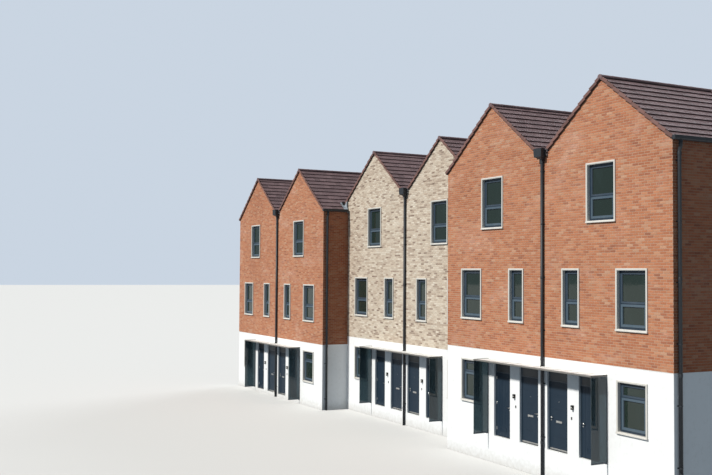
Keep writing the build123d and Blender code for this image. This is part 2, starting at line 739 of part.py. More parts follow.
# ----------------------------------------------------------------------
# wall lamps and bell plates on the piers between the doors of a house
# ----------------------------------------------------------------------
with BuildPart() as wall_lamps:
    for name, cx, fy, fz, half in pairs:
        for s in (-1, 1):
            with BuildSketch(Plane.XY.offset(fz + 1385)):
                with Locations((cx + s * (inner_x1 + outer_x0) / 2, fy - 45)):
                    Rectangle(90, 90)
            extrude(amount=140)
save(wall_lamps.part, "wall_lamps")

with BuildPart() as bell_plates:
    for name, cx, fy, fz, half in pairs:
        for s in (-1, 1):
            with BuildSketch(Plane.XY.offset(fz + 1075)):
                with Locations((cx + s * 1365, fy - 6)):
                    Rectangle(50, 12)
            extrude(amount=85)
save(bell_plates.part, "bell_plates")

# ----------------------------------------------------------------------
# door frames: jambs, heads with the panel over the door, thresholds
# ----------------------------------------------------------------------
doorways = []
for name, cx, fy, fz, half in pairs:
    doorways += [
        (f"{name}_left_store_door", cx - outer_x1, cx - outer_x0, fy, fz, "left", "out"),
        (f"{name}_left_front_door", cx - inner_x1, cx - inner_x0, fy, fz, "left", "in"),
        (f"{name}_right_front_door", cx + inner_x0, cx + inner_x1, fy, fz, "right", "in"),
        (f"{name}_right_store_door", cx + outer_x0, cx + outer_x1, fy, fz, "right", "out"),
    ]
jamb_mid = (jamb_y0 + jamb_y1) / 2
jamb_d = jamb_y1 - jamb_y0

with BuildPart() as door_jambs:
    for dn, x0, x1, fy, fz, side, way in doorways:
        for xj in (x0 + jamb / 2, x1 - jamb / 2):
            with BuildSketch(Plane.XY.offset(fz)):
                with Locations((xj, fy + jamb_mid)):
                    Rectangle(jamb, jamb_d)
            extrude(amount=band_z)
save(door_jambs.part, "door_jambs")

with BuildPart() as door_heads:
    for dn, x0, x1, fy, fz, side, way in doorways:
        with BuildSketch(Plane.XY.offset(fz + door_head)):
            with Locations(((x0 + x1) / 2, fy + jamb_mid)):
                Rectangle(x1 - x0 - 2 * jamb, jamb_d)
        extrude(amount=band_z - door_head)
save(door_heads.part, "door_heads")

with BuildPart() as door_thresholds:
    for dn, x0, x1, fy, fz, side, way in doorways:
        with BuildSketch(Plane.XY.offset(fz)):
            with Locations(((x0 + x1) / 2, fy + jamb_mid)):
                Rectangle(x1 - x0 - 2 * jamb, jamb_d)
        extrude(amount=threshold_h)
save(door_thresholds.part, "door_thresholds")

# ----------------------------------------------------------------------
# door leaves with lever handles.  Front doors are hung on the outer jamb
# and open inward; store doors are hung on the outer jamb and open outward.
# ----------------------------------------------------------------------
for dn, x0, x1, fy, fz, side, way in doorways:
    la, lb = x0 + jamb + leaf_gap, x1 - jamb - leaf_gap
    free = lb if side == "left" else la      # edge away from the hinges
    inward = -1 if side == "left" else 1     # from the free edge to the hinges
    hx = free + inward * 62
    with BuildPart() as leaf:
        with BuildSketch(Plane.XY.offset(fz + leaf_z0)):
            with Locations(((la + lb) / 2, fy + leaf_y0 + leaf_t / 2)):
                Rectangle(lb - la, leaf_t)
        extrude(amount=leaf_z1 - leaf_z0)
        for ys, face in ((-1, fy + leaf_y0), (1, fy + leaf_y0 + leaf_t)):
            with BuildSketch(Plane.XZ.offset(-face)):
                with Locations((hx, fz + handle_z)):
                    Circle(13)
            extrude(amount=45 if ys < 0 else -45)
            with BuildSketch(Plane.XY.offset(fz + handle_z - 10)):
                with Locations((hx + inward * 50, face + ys * 45)):
                    Rectangle(130, 18)
            extrude(amount=20)
    save(leaf.part, dn)
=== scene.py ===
import math
import random

import bpy
from mathutils import Matrix, Vector


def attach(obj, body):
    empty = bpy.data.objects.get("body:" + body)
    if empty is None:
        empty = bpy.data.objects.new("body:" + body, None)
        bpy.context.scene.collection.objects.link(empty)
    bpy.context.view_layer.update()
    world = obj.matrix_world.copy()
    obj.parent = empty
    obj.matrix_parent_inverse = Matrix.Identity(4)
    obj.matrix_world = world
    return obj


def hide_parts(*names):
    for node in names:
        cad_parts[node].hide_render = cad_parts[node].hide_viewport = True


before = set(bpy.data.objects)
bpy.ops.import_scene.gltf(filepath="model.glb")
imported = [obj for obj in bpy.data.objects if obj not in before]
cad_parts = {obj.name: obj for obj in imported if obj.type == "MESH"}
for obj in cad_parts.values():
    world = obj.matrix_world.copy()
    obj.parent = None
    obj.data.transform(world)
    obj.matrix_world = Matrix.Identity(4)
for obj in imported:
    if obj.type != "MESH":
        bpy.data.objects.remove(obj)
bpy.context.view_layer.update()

ROOT = "house_row"

# ----------------------------------------------------------------------
# the row's dimensions, in metres, as in the CAD
# ----------------------------------------------------------------------
PITCH, HALF, MIDH, SETB, STEP, PLINTH = 10.65, 5.4, 5.25, 1.3, 0.375, 0.15
DEPTH, FRONT_Y = 7.1, -3.9785
WALL, STOREY, RTOP, BAND = 0.3, 3.12, 2.85, 2.47
APX, APZ, ROOFV, VERGE = 2.7, 2.85 + 8.182, 0.195, 0.075
RIDGE_Y, VALX, EAVES_OVER = 4.4, 0.28, 0.06
THETA = math.radians(37.5)
SL, CT, ST = math.tan(THETA), math.cos(THETA), math.sin(THETA)
EAVES_Z = APZ - APX * SL
PAIRV = 5.08
WIN_H, WIDE_W, NARROW_W, TOP_W = 1.77, 1.22, 0.79, 1.22
WIDE_X, NARROW_X, TOP_X = 3.885, 1.337, 2.66
FIRST_Z, SECOND_Z = RTOP + 1.005, RTOP + 4.12
GW, GZ = 1.18, 0.97
PAIRS = [
    ("lower", -PITCH, FRONT_Y, PLINTH, HALF),
    ("middle", 0.0, FRONT_Y + SETB, PLINTH + STEP, MIDH),
    ("upper", PITCH, FRONT_Y, PLINTH + 2 * STEP, HALF),
]
YA, YB = FRONT_Y, FRONT_Y + SETB
RYA, RYB = YA + DEPTH, YB + DEPTH
Z0, Z1, Z2 = PAIRS[0][3], PAIRS[1][3], PAIRS[2][3]
ENDX = PITCH + HALF
EDGE_UNDER = APZ - (APX + EAVES_OVER) * SL
GUT_TOP = EDGE_UNDER + 0.17
GUT_W, GUT_H = 0.115, 0.11
GUT_Z0 = GUT_TOP - GUT_H
PIPE_R, PIPE_OFF, PIPE_DX = 0.05, 0.07, 0.06
# the roof that shows is thinner than the plates: its tile plane is LIFT higher, the walls
# go up RAISE further under a deck whose underside is ROOF_B below the tile plane, and the
# verges stand VG out
VG, ROOF_B, LIFT = 0.070, -0.078, 0.030
RAISE = ROOFV + LIFT + ROOF_B / CT - 0.0003


# ----------------------------------------------------------------------
# mesh making
# ----------------------------------------------------------------------
def inside_out(verts, faces):
    """True if a closed shell's faces point inwards: its signed volume is negative."""
    ox, oy, oz = verts[faces[0][0]]
    total = 0.0
    for f in faces:
        ax, ay, az = verts[f[0]]
        ax, ay, az = ax - ox, ay - oy, az - oz
        for i in range(1, len(f) - 1):
            bx, by, bz = verts[f[i]]
            cx, cy, cz = verts[f[i + 1]]
            bx, by, bz, cx, cy, cz = bx - ox, by - oy, bz - oz, cx - ox, cy - oy, cz - oz
            total += ax * (by * cz - bz * cy) + ay * (bz * cx - bx * cz) + az * (bx * cy - by * cx)
    return total < 0


class Build:
    """Collects faces for one piece, with a tone (three random numbers) on each vertex.
    Each shell that is added is closed, and is turned to face outwards."""

    def __init__(self):
        self.v, self.f, self.mi, self.sm, self.t = [], [], [], [], []

    def add(self, verts, faces, tone=(0.5, 0.5, 0.5), m=0, smooth=False):
        b = len(self.v)
        verts = [tuple(p) for p in verts]
        if inside_out(verts, faces):
            faces = [tuple(f)[::-1] for f in faces]
        self.v.extend(verts)
        self.t.extend(tone if isinstance(tone, list) else [tone] * len(verts))
        for f in faces:
            self.f.append([b + i for i in f])
            self.mi.append(m)
            self.sm.append(bool(smooth) and len(f) <= 4)

    def make(self, name, slot, mats, body=ROOT, replaces=()):
        me = bpy.data.meshes.new(name)
        me.from_pydata([tuple(p) for p in self.v], [], self.f)
        for m in mats:
            me.materials.append(m)
        me.polygons.foreach_set("material_index", self.mi)
        me.polygons.foreach_set("use_smooth", self.sm)
        a = me.attributes.new("tone", "FLOAT_COLOR", "POINT")
        flat = []
        for t in self.t:
            flat += [t[0], t[1], t[2], 1.0]
        a.data.foreach_set("color", flat)
        me.update()
        ob = bpy.data.objects.new(name, me)
        bpy.context.scene.collection.objects.link(ob)
        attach(ob, body)
        if replaces:
            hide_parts(*replaces)
        return ob


class Basis:
    """A plane to build on: origin, two directions in it and its outward normal."""

    def __init__(self, o, u, w, n):
        self.o, self.u, self.w, self.n = Vector(o), Vector(u), Vector(w), Vector(n)

    def at(self, a, b, h=0.0):
        o, u, w, n = self.o, self.u, self.w, self.n
        return (o[0] + a * u[0] + b * w[0] + h * n[0],
                o[1] + a * u[1] + b * w[1] + h * n[1],
                o[2] + a * u[2] + b * w[2] + h * n[2])


def wall_basis(facing, plane):
    """u runs to the right as seen from outside, w is up."""
    if facing == "front":
        return Basis((0, plane, 0), (1, 0, 0), (0, 0, 1), (0, -1, 0))
    if facing == "rear":
        return Basis((0, plane, 0), (-1, 0, 0), (0, 0, 1), (0, 1, 0))
    if facing == "right":
        return Basis((plane, 0, 0), (0, 1, 0), (0, 0, 1), (1, 0, 0))
    return Basis((plane, 0, 0), (0, -1, 0), (0, 0, 1), (-1, 0, 0))


def clip(poly, a, b, c):
    """The part of a convex polygon where a u + b w <= c."""
    out, n = [], len(poly)
    for i in range(n):
        p, q = poly[i], poly[(i + 1) % n]
        dp, dq = a * p[0] + b * p[1] - c, a * q[0] + b * q[1] - c
        if dp <= 0:
            out.append(p)
        if (dp < 0 < dq) or (dq < 0 < dp):
            t = dp / (dp - dq)
            out.append((p[0] + t * (q[0] - p[0]), p[1] + t * (q[1] - p[1])))
    return out


def poly_area(p):
    return 0.5 * sum(p[i][0] * p[(i + 1) % len(p)][1] - p[(i + 1) % len(p)][0] * p[i][1]
                     for i in range(len(p)))


def tidy(poly, tol=0.002):
    out = []
    for p in poly:
        if not out or abs(p[0] - out[-1][0]) + abs(p[1] - out[-1][1]) > tol:
            out.append(p)
    while len(out) > 1 and abs(out[0][0] - out[-1][0]) + abs(out[0][1] - out[-1][1]) <= tol:
        out.pop()
    return out


def inset(poly, c):
    """A convex polygon shrunk by c."""
    out, n = [], len(poly)
    for i in range(n):
        a, p, q = poly[i - 1], poly[i], poly[(i + 1) % n]
        e1, e2 = (p[0] - a[0], p[1] - a[1]), (q[0] - p[0], q[1] - p[1])
        l1, l2 = math.hypot(*e1) or 1e-9, math.hypot(*e2) or 1e-9
        n1, n2 = (-e1[1] / l1, e1[0] / l1), (-e2[1] / l2, e2[0] / l2)
        k = max(0.35, 1 + n1[0] * n2[0] + n1[1] * n2[1])
        out.append((p[0] + c * (n1[0] + n2[0]) / k, p[1] + c * (n1[1] + n2[1]) / k))
    return out


def slab(B, P, poly, h, c, tone, base=-0.004, m=0, hf=None, wob=0.0, rnd=None, under=0.0):
    """A convex polygon raised to h over the plane, its edge chamfered by c, closed behind.
    The third tone is 0 round its foot and 1 on its face; under cuts back the lowest edge's foot."""
    poly = tidy(poly)
    if len(poly) < 3 or poly_area(poly) < 1e-4:
        return
    n = len(poly)
    top = inset(poly, c)
    hs = [(hf(p[1]) if hf else h) + (rnd.uniform(-wob, wob) if wob else 0.0) for p in top]
    bs = [(hf(p[1]) + base) if hf else base for p in poly]
    lowest = min(p[1] for p in poly)
    foot = [(p[0], p[1] + (under if p[1] < lowest + 0.004 else 0.0)) for p in poly]
    verts = [P.at(p[0], p[1], b) for p, b in zip(foot, bs)] + \
            [P.at(p[0], p[1], x) for p, x in zip(top, hs)]
    faces = [tuple(range(n, 2 * n)), tuple(range(n))[::-1]] + \
        [(i, (i + 1) % n, n + (i + 1) % n, n + i) for i in range(n)]
    B.add(verts, faces, [(tone[0], tone[1], 0.0)] * n + [(tone[0], tone[1], 1.0)] * n, m)


def minus(rects, hole, least=0.012):
    out = []
    for a, b, c, d in rects:
        if b <= hole[0] or a >= hole[1] or d <= hole[2] or c >= hole[3]:
            out.append((a, b, c, d))
            continue
        if a < hole[0]:
            out.append((a, hole[0], c, d))
        if b > hole[1]:
            out.append((hole[1], b, c, d))
        ia, ib = max(a, hole[0]), min(b, hole[1])
        if c < hole[2]:
            out.append((ia, ib, c, hole[2]))
        if d > hole[3]:
            out.append((ia, ib, hole[3], d))
    return [r for r in out if r[1] - r[0] > least and r[3] - r[2] > least]


def box(B, lo, hi, c=0.002, tone=(0.5, 0.5, 0.5), m=0, P=None):
    """A box with chamfered edges, in the row frame or along a basis."""
    x0, y0, z0 = lo
    x1, y1, z1 = hi
    if x1 < x0: x0, x1 = x1, x0
    if y1 < y0: y0, y1 = y1, y0
    if z1 < z0: z0, z1 = z1, z0
    c = min(c, 0.45 * (x1 - x0), 0.45 * (y1 - y0), 0.45 * (z1 - z0))
    v, key = [], {}
    for sx in (0, 1):
        for sy in (0, 1):
            for sz in (0, 1):
                X, Y, Z = (x0, x1)[sx], (y0, y1)[sy], (z0, z1)[sz]
                dx, dy, dz = (c, -c)[sx], (c, -c)[sy], (c, -c)[sz]
                key[sx, sy, sz, "x"] = len(v); v.append((X, Y + dy, Z + dz))
                key[sx, sy, sz, "y"] = len(v); v.append((X + dx, Y, Z + dz))
                key[sx, sy, sz, "z"] = len(v); v.append((X + dx, Y + dy, Z))
    f = []
    K = lambda a, b, cc, ax: key[a, b, cc, ax]
    f.append([K(0, 0, 0, "x"), K(0, 0, 1, "x"), K(0, 1, 1, "x"), K(0, 1, 0, "x")])
    f.append([K(1, 0, 0, "x"), K(1, 1, 0, "x"), K(1, 1, 1, "x"), K(1, 0, 1, "x")])
    f.append([K(0, 0, 0, "y"), K(1, 0, 0, "y"), K(1, 0, 1, "y"), K(0, 0, 1, "y")])
    f.append([K(0, 1, 0, "y"), K(0, 1, 1, "y"), K(1, 1, 1, "y"), K(1, 1, 0, "y")])
    f.append([K(0, 0, 0, "z"), K(0, 1, 0, "z"), K(1, 1, 0, "z"), K(1, 0, 0, "z")])
    f.append([K(0, 0, 1, "z"), K(1, 0, 1, "z"), K(1, 1, 1, "z"), K(0, 1, 1, "z")])
    for a in (0, 1):
        for b in (0, 1):
            q = [K(a, b, 0, "x"), K(a, b, 1, "x"), K(a, b, 1, "y"), K(a, b, 0, "y")]
            f.append(q if (a + b) % 2 == 1 else q[::-1])
            q = [K(a, 0, b, "x"), K(a, 1, b, "x"), K(a, 1, b, "z"), K(a, 0, b, "z")]
            f.append(q if (a + b) % 2 == 0 else q[::-1])
            q = [K(0, a, b, "y"), K(1, a, b, "y"), K(1, a, b, "z"), K(0, a, b, "z")]
            f.append(q if (a + b) % 2 == 1 else q[::-1])
            for cc in (0, 1):
                q = [K(a, b, cc, "x"), K(a, b, cc, "y"), K(a, b, cc, "z")]
                f.append(q if (a + b + cc) % 2 == 0 else q[::-1])
    if P:
        v = [P.at(p[0], p[1], p[2]) for p in v]
    else:
        v = [tuple(p) for p in v]
    B.add(v, f, tone, m)


def ring(B, P, u0, u1, w0, w1, prof, tone=(0.5, 0.5, 0.5), m=0, mfun=None):
    """A mitred rectangular ring: prof is a closed outline of (in from the edge, out from the plane)."""
    n = len(prof)
    verts = []
    for i, d in prof:
        verts += [P.at(u0 + i, w0 + i, d), P.at(u1 - i, w0 + i, d),
                  P.at(u1 - i, w1 - i, d), P.at(u0 + i, w1 - i, d)]
    faces = []
    for k in range(n):
        a, b = 4 * k, 4 * ((k + 1) % n)
        for s in range(4):
            t = (s + 1) % 4
            faces.append((a + s, a + t, b + t, b + s))
    B.add(verts, faces, tone, m)


def flat_panel(B, P, us, ws, holes, h, base=-0.004, tone=(0.5, 0.5, 0.5), m=0, ok=None, cut=None):
    """One sheet with openings, shared vertices, and sides round its edges."""
    us, ws = sorted(set(us)), sorted(set(ws))
    for a, b, c, d in holes:
        us += [a, b]
        ws += [c, d]
    us = sorted(x for x in set(round(x, 6) for x in us) if min(us) - 1e-9 <= x)
    ws = sorted(set(round(x, 6) for x in ws))
    nu, nw = len(us) - 1, len(ws) - 1

    def solid(i, j):
        if not (0 <= i < nu and 0 <= j < nw):
            return False
        x, z = (us[i] + us[i + 1]) / 2, (ws[j] + ws[j + 1]) / 2
        return not any(a < x < b and c < z < d for a, b, c, d in holes)

    verts, faces, idx = [], [], {}

    def vid(i, j, top):
        k = (i, j, top)
        if k not in idx:
            idx[k] = len(verts)
            verts.append(P.at(us[i], ws[j], h if top else base))
        return idx[k]

    for i in range(nu):
        for j in range(nw):
            if not solid(i, j):
                continue
            faces.append((vid(i, j, 1), vid(i + 1, j, 1), vid(i + 1, j + 1, 1), vid(i, j + 1, 1)))
            faces.append((vid(i, j + 1, 0), vid(i + 1, j + 1, 0), vid(i + 1, j, 0), vid(i, j, 0)))
            for (di, dj, a, b) in ((0, -1, (i, j), (i + 1, j)), (1, 0, (i + 1, j), (i + 1, j + 1)),
                                   (0, 1, (i + 1, j + 1), (i, j + 1)), (-1, 0, (i, j + 1), (i, j))):
                if not solid(i + di, j + dj):
                    faces.append((vid(*a, 0), vid(*b, 0), vid(*b, 1), vid(*a, 1)))
    B.add(verts, faces, tone, m)


def sweep(B, prof, stations, tone=(0.5, 0.5, 0.5), m=0, closed=True, caps=True, smooth=False):
    """Skins one outline through stations, each a function from outline point to row point."""
    n = len(prof)
    verts = []
    for st in stations:
        verts += [st(p) for p in prof]
    faces = []
    for k in range(len(stations) - 1):
        a, b = n * k, n * (k + 1)
        for i in range(n if closed else n - 1):
            j = (i + 1) % n
            faces.append((a + i, a + j, b + j, b + i))
    if caps and closed:
        last = n * (len(stations) - 1)
        faces += [tuple(range(n))[::-1], tuple(range(last, last + n))]
    B.add(verts, faces, tone, m, smooth)


def bar(B, prof, a, d, e1, e2, length, **kw):
    """Outline (p, q) at a + p e1 + q e2, carried length along d. e1 x e2 = d."""
    a, d, e1, e2 = Vector(a), Vector(d), Vector(e1), Vector(e2)
    sweep(B, prof, [lambda p, o=a: tuple(o + e1 * p[0] + e2 * p[1]),
                    lambda p, o=a + d * length: tuple(o + e1 * p[0] + e2 * p[1])], **kw)


def tube(B, pts, r, n=20, tone=(0.5, 0.5, 0.5), m=0, caps=True, bend=0.0, smooth=True):
    """A round tube along points, mitred or rounded at its corners. r may be a list, one for each point."""
    pts = [Vector(p) for p in pts]
    rs = list(r) if isinstance(r, (list, tuple)) else [r] * len(pts)
    if bend:
        out, ro = [pts[0]], [rs[0]]
        for i in range(1, len(pts) - 1):
            a, p, b = pts[i - 1], pts[i], pts[i + 1]
            u, w = (a - p), (b - p)
            k = min(bend, u.length * 0.45, w.length * 0.45)
            s, e = p + u.normalized() * k, p + w.normalized() * k
            for t in (0, 0.25, 0.5, 0.75, 1):
                out.append(s * (1 - t) ** 2 + p * 2 * t * (1 - t) + e * t * t)
                ro.append(rs[i])
        out.append(pts[-1]); ro.append(rs[-1])
        pts, rs = out, ro
    dirs = []
    for i in range(len(pts)):
        a = pts[i] - pts[i - 1] if i else pts[1] - pts[0]
        b = pts[i + 1] - pts[i] if i < len(pts) - 1 else pts[-1] - pts[-2]
        if a.length < 1e-9: a = b
        if b.length < 1e-9: b = a
        d = (a.normalized() + b.normalized())
        dirs.append(d.normalized() if d.length > 1e-6 else a.normalized())
    ref = Vector((0, 1, 0)) if abs(dirs[0].y) < 0.9 else Vector((1, 0, 0))
    verts = []
    e1 = dirs[0].cross(ref).normalized()
    for i, p in enumerate(pts):
        d = dirs[i]
        e1 = (e1 - d * e1.dot(d)).normalized()
        e2 = d.cross(e1)
        for k in range(n):
            t = 2 * math.pi * k / n
            verts.append(tuple(p + (e1 * math.cos(t) + e2 * math.sin(t)) * rs[i]))
    faces = []
    for i in range(len(pts) - 1):
        for k in range(n):
            j = (k + 1) % n
            faces.append((n * i + k, n * i + j, n * (i + 1) + j, n * (i + 1) + k))
    if caps:
        last = n * (len(pts) - 1)
        faces += [tuple(range(n))[::-1], tuple(range(last, last + n))]
    B.add(verts, faces, tone, m, smooth)


def collar(B, p, axis, r, prof, n=20, tone=(0.5, 0.5, 0.5), m=0, solid=False):
    """A turned shape: prof is (along, radius) in order. Solid, it is closed over its ends;
    otherwise its last ring goes back to its first, as a sleeve."""
    p, axis = Vector(p), Vector(axis).normalized()
    e1 = axis.cross(Vector((0, 1, 0)) if abs(axis.y) < 0.9 else Vector((1, 0, 0))).normalized()
    e2 = axis.cross(e1)
    prof = [q for i, q in enumerate(prof) if i == 0 or abs(q[0] - prof[i - 1][0]) + abs(q[1] - prof[i - 1][1]) > 1e-6]
    verts, faces, k = [], [], len(prof)
    for al, rr in prof:
        for j in range(n):
            t = 2 * math.pi * j / n
            verts.append(tuple(p + axis * al + (e1 * math.cos(t) + e2 * math.sin(t)) * rr))
    for i in range(k - 1 if solid else k):
        a, b = n * i, n * ((i + 1) % k)
        for j in range(n):
            q = (j + 1) % n
            faces.append((a + j, a + q, b + q, b + j))
    if solid:
        faces += [tuple(range(n))[::-1], tuple(range(n * (k - 1), n * k))]
    B.add(verts, faces, tone, m)


# ----------------------------------------------------------------------
# materials, all from nodes, in metres on the mesh
# ----------------------------------------------------------------------
class Mat:
    def __init__(self, name):
        self.m = bpy.data.materials.new(name)
        self.m.use_nodes = True
        self.nt = self.m.node_tree
        self.nt.nodes.clear()
        self.out = self.n("ShaderNodeOutputMaterial")
        self.p = self.n("ShaderNodeBsdfPrincipled")
        self.l(self.p.outputs[0], self.out.inputs[0])
        self.co = self.n("ShaderNodeTexCoord").outputs["Object"]

    def n(self, kind, **kw):
        x = self.nt.nodes.new(kind)
        for k, v in kw.items():
            if k in x.inputs.keys():
                x.inputs[k].default_value = v
            else:
                setattr(x, k, v)
        return x

    def l(self, a, b):
        self.nt.links.new(a, b)

    def set(self, **kw):
        for k, v in kw.items():
            self.p.inputs[k.replace("_", " ")].default_value = v

    def scaled(self, s):
        x = self.n("ShaderNodeMapping")
        x.inputs["Scale"].default_value = s if hasattr(s, "__len__") else (s, s, s)
        self.l(self.co, x.inputs["Vector"])
        return x.outputs[0]

    def noise(self, scale, detail=4.0, rough=0.55, stretch=None, dist=0.0):
        x = self.n("ShaderNodeTexNoise", Scale=scale, Detail=detail, Roughness=rough, Distortion=dist)
        self.l(self.scaled(stretch) if stretch else self.co, x.inputs["Vector"])
        return x.outputs["Fac"]

    def voronoi(self, scale, feature="F1", stretch=None):
        x = self.n("ShaderNodeTexVoronoi", Scale=scale)
        x.feature = feature
        self.l(self.scaled(stretch) if stretch else self.co, x.inputs["Vector"])
        return x.outputs["Distance"]

    def ramp(self, fac, stops, interp="LINEAR"):
        x = self.n("ShaderNodeValToRGB")
        cr = x.color_ramp
        cr.interpolation = interp
        while len(cr.elements) > 1:
            cr.elements.remove(cr.elements[-1])
        cr.elements[0].position = stops[0][0]
        cr.elements[0].color = self.rgba(stops[0][1])
        for pos, col in stops[1:]:
            e = cr.elements.new(pos)
            e.color = self.rgba(col)
        self.l(fac, x.inputs["Fac"])
        return x.outputs["Color"]

    @staticmethod
    def rgba(c):
        if not hasattr(c, "__len__"):
            c = (c, c, c)
        return (c[0], c[1], c[2], 1.0)

    def mix(self, fac, a, b, mode="MIX"):
        x = self.n("ShaderNodeMix")
        x.data_type = "RGBA"
        x.blend_type = mode
        ins = {"f": x.inputs[0], "a": x.inputs[6], "b": x.inputs[7]}
        for k, v in (("f", fac), ("a", a), ("b", b)):
            if isinstance(v, bpy.types.NodeSocket):
                self.l(v, ins[k])
            elif k == "f":
                ins[k].default_value = v
            else:
                ins[k].default_value = self.rgba(v)
        return x.outputs[2]

    def math(self, op, a, b=0.0, clamp=False):
        x = self.n("ShaderNodeMath")
        x.operation = op
        x.use_clamp = clamp
        for i, v in enumerate((a, b)):
            if isinstance(v, bpy.types.NodeSocket):
                self.l(v, x.inputs[i])
            else:
                x.inputs[i].default_value = v
        return x.outputs[0]

    def span(self, v, a, b, c=0.0, d=1.0, smooth=False):
        x = self.n("ShaderNodeMapRange")
        if smooth:
            x.interpolation_type = "SMOOTHSTEP"
        for i, q in enumerate((a, b, c, d)):
            x.inputs[1 + i].default_value = q
        self.l(v, x.inputs[0])
        return x.outputs[0]

    def tone(self):
        x = self.n("ShaderNodeAttribute")
        x.attribute_name = "tone"
        s = self.n("ShaderNodeSeparateColor")
        self.l(x.outputs["Color"], s.inputs[0])
        return s.outputs[0], s.outputs[1], s.outputs[2]

    def xyz(self):
        s = self.n("ShaderNodeSeparateXYZ")
        self.l(self.co, s.inputs[0])
        return s.outputs[0], s.outputs[1], s.outputs[2]

    def bump(self, height, dist, strength=1.0, prev=None):
        x = self.n("ShaderNodeBump", Strength=strength, Distance=dist)
        self.l(height, x.inputs["Height"])
        if prev is not None:
            self.l(prev, x.inputs["Normal"])
        return x.outputs[0]

    def finish(self, color=None, rough=None, normal=None):
        if color is not None:
            self.l(color, self.p.inputs["Base Color"])
        if rough is not None:
            self.l(rough, self.p.inputs["Roughness"])
        if normal is not None:
            self.l(normal, self.p.inputs["Normal"])
        return self.m


# ---- brick ----
def brick_material(name, stops, patch, pale, pale_amount, dark_amount, scale_patch=0.55):
    q = Mat(name)
    a, b, c = q.tone()
    col = q.ramp(a, stops)
    # shade within each brick: drag marks along its length, sandy speckle
    streak = q.noise(60, 5, 0.6, stretch=(0.35, 0.35, 1.6))
    col = q.mix(q.span(streak, 0.35, 0.75, 0.0, 0.34), col, patch, "MULTIPLY")
    speck = q.noise(420, 3, 0.6)
    col = q.mix(q.span(speck, 0.52, 0.72, 0.0, 0.30), col, (0.09, 0.05, 0.04))
    col = q.mix(q.span(speck, 0.42, 0.28, 0.0, 0.22), col, pale)
    # each brick a little lighter or darker
    col = q.mix(1.0, col, q.ramp(b, [(0.0, 0.93), (0.5, 0.99), (1.0, 1.05)]), "MULTIPLY")
    # slow change over the wall: salts, rain and sun
    slow = q.noise(scale_patch, 5, 0.62, stretch=(1, 1, 1.35), dist=0.6)
    salts = q.noise(5.2, 6, 0.7, stretch=(0.7, 0.7, 1.9))
    both = q.math("MULTIPLY", q.span(slow, 0.50, 0.68, 0, 1, True), q.span(salts, 0.44, 0.66, 0.25, 1, True))
    col = q.mix(q.math("MULTIPLY", both, pale_amount), col, pale)
    dark = q.span(q.noise(0.33, 4, 0.55, dist=0.3), 0.46, 0.72, 0, dark_amount, True)
    col = q.mix(dark, col, (0.55, 0.42, 0.36), "MULTIPLY")
    pits = q.voronoi(190)
    grain = q.noise(700, 4, 0.65)
    n = q.bump(grain, 0.0012, 0.55)
    n = q.bump(q.span(pits, 0.02, 0.22, 0, 1), 0.0016, 0.5, prev=n)
    n = q.bump(streak, 0.003, 0.45, prev=n)
    r = q.span(grain, 0.3, 0.7, 0.78, 0.95)
    q.set(Specular_IOR_Level=0.22)
    return q.finish(col, r, n)


RED_STOPS = [(0.0, (0.291, 0.114, 0.065)), (0.05, (0.342, 0.131, 0.070)), (0.20, (0.387, 0.149, 0.075)),
             (0.45, (0.417, 0.165, 0.083)), (0.65, (0.436, 0.182, 0.094)), (0.84, (0.450, 0.207, 0.113)),
             (0.95, (0.448, 0.229, 0.135)), (1.0, (0.464, 0.268, 0.172))]
RED = brick_material("red_brick", RED_STOPS, (0.80, 0.70, 0.65), (0.62, 0.42, 0.34), 0.42, 0.26)
# the ends and returns get a darker, deeper red copy of the red brick: painted shade for the walls turned from the sun
RED_BRICK_PAINTED_SHADE = brick_material("red_brick_sides_painted_shade", [(p, (r * 0.86, g * 0.76, b * 0.72)) for p, (r, g, b) in RED_STOPS],
                          (0.78, 0.66, 0.60), (0.50, 0.32, 0.25), 0.20, 0.30)
BUFF = brick_material(
    "buff_brick",
    [(0.0, (0.215, 0.158, 0.126)), (0.07, (0.300, 0.232, 0.186)), (0.17, (0.395, 0.320, 0.256)),
     (0.34, (0.465, 0.392, 0.315)), (0.58, (0.515, 0.446, 0.362)), (0.80, (0.556, 0.492, 0.404)),
     (1.0, (0.610, 0.555, 0.470))],
    (0.84, 0.80, 0.76), (0.64, 0.60, 0.53), 0.30, 0.22)


def masonry(name, mortar, rear=None):
    """Mortar in one colour on every face; rear, if given, colours the back of the middle pair."""
    q = Mat(name)
    fine, mid = q.noise(330, 4, 0.6), q.noise(9, 5, 0.6)
    col = q.mix(q.span(fine, 0.3, 0.7, 0.0, 0.5), mortar, tuple(min(1, x * 1.35) for x in mortar))
    col = q.mix(q.span(mid, 0.4, 0.75, 0.0, 0.4), col, tuple(x * 0.62 for x in mortar))
    if rear:  # the middle pair stands out at the back of the row, with mortar of its own
        x, y, z = q.xyz()
        near = q.span(q.math("ABSOLUTE", x), 6.0, 6.01, 1.0, 0.0)
        col = q.mix(q.math("MULTIPLY", near, q.span(y, 2.6, 2.61)), col, rear)
    n = q.bump(fine, 0.002, 0.6)
    q.set(Specular_IOR_Level=0.2)
    return q.finish(col, q.span(fine, 0.3, 0.7, 0.86, 0.97), n)


MORTAR_RED = masonry("mortar_red", (0.415, 0.278, 0.202))
# a darker mortar for the cross walls that show at the ends and returns: painted shade; rear is the middle pair's own
# back mortar
MORTAR_PAINTED_SHADE = masonry("mortar_sides_painted_shade", (0.34, 0.215, 0.150), (0.40, 0.345, 0.28))
MORTAR_BUFF = masonry("mortar_buff", (0.50, 0.42, 0.33))
MORTAR_PALE = masonry("mortar_pale", (0.46, 0.40, 0.34))


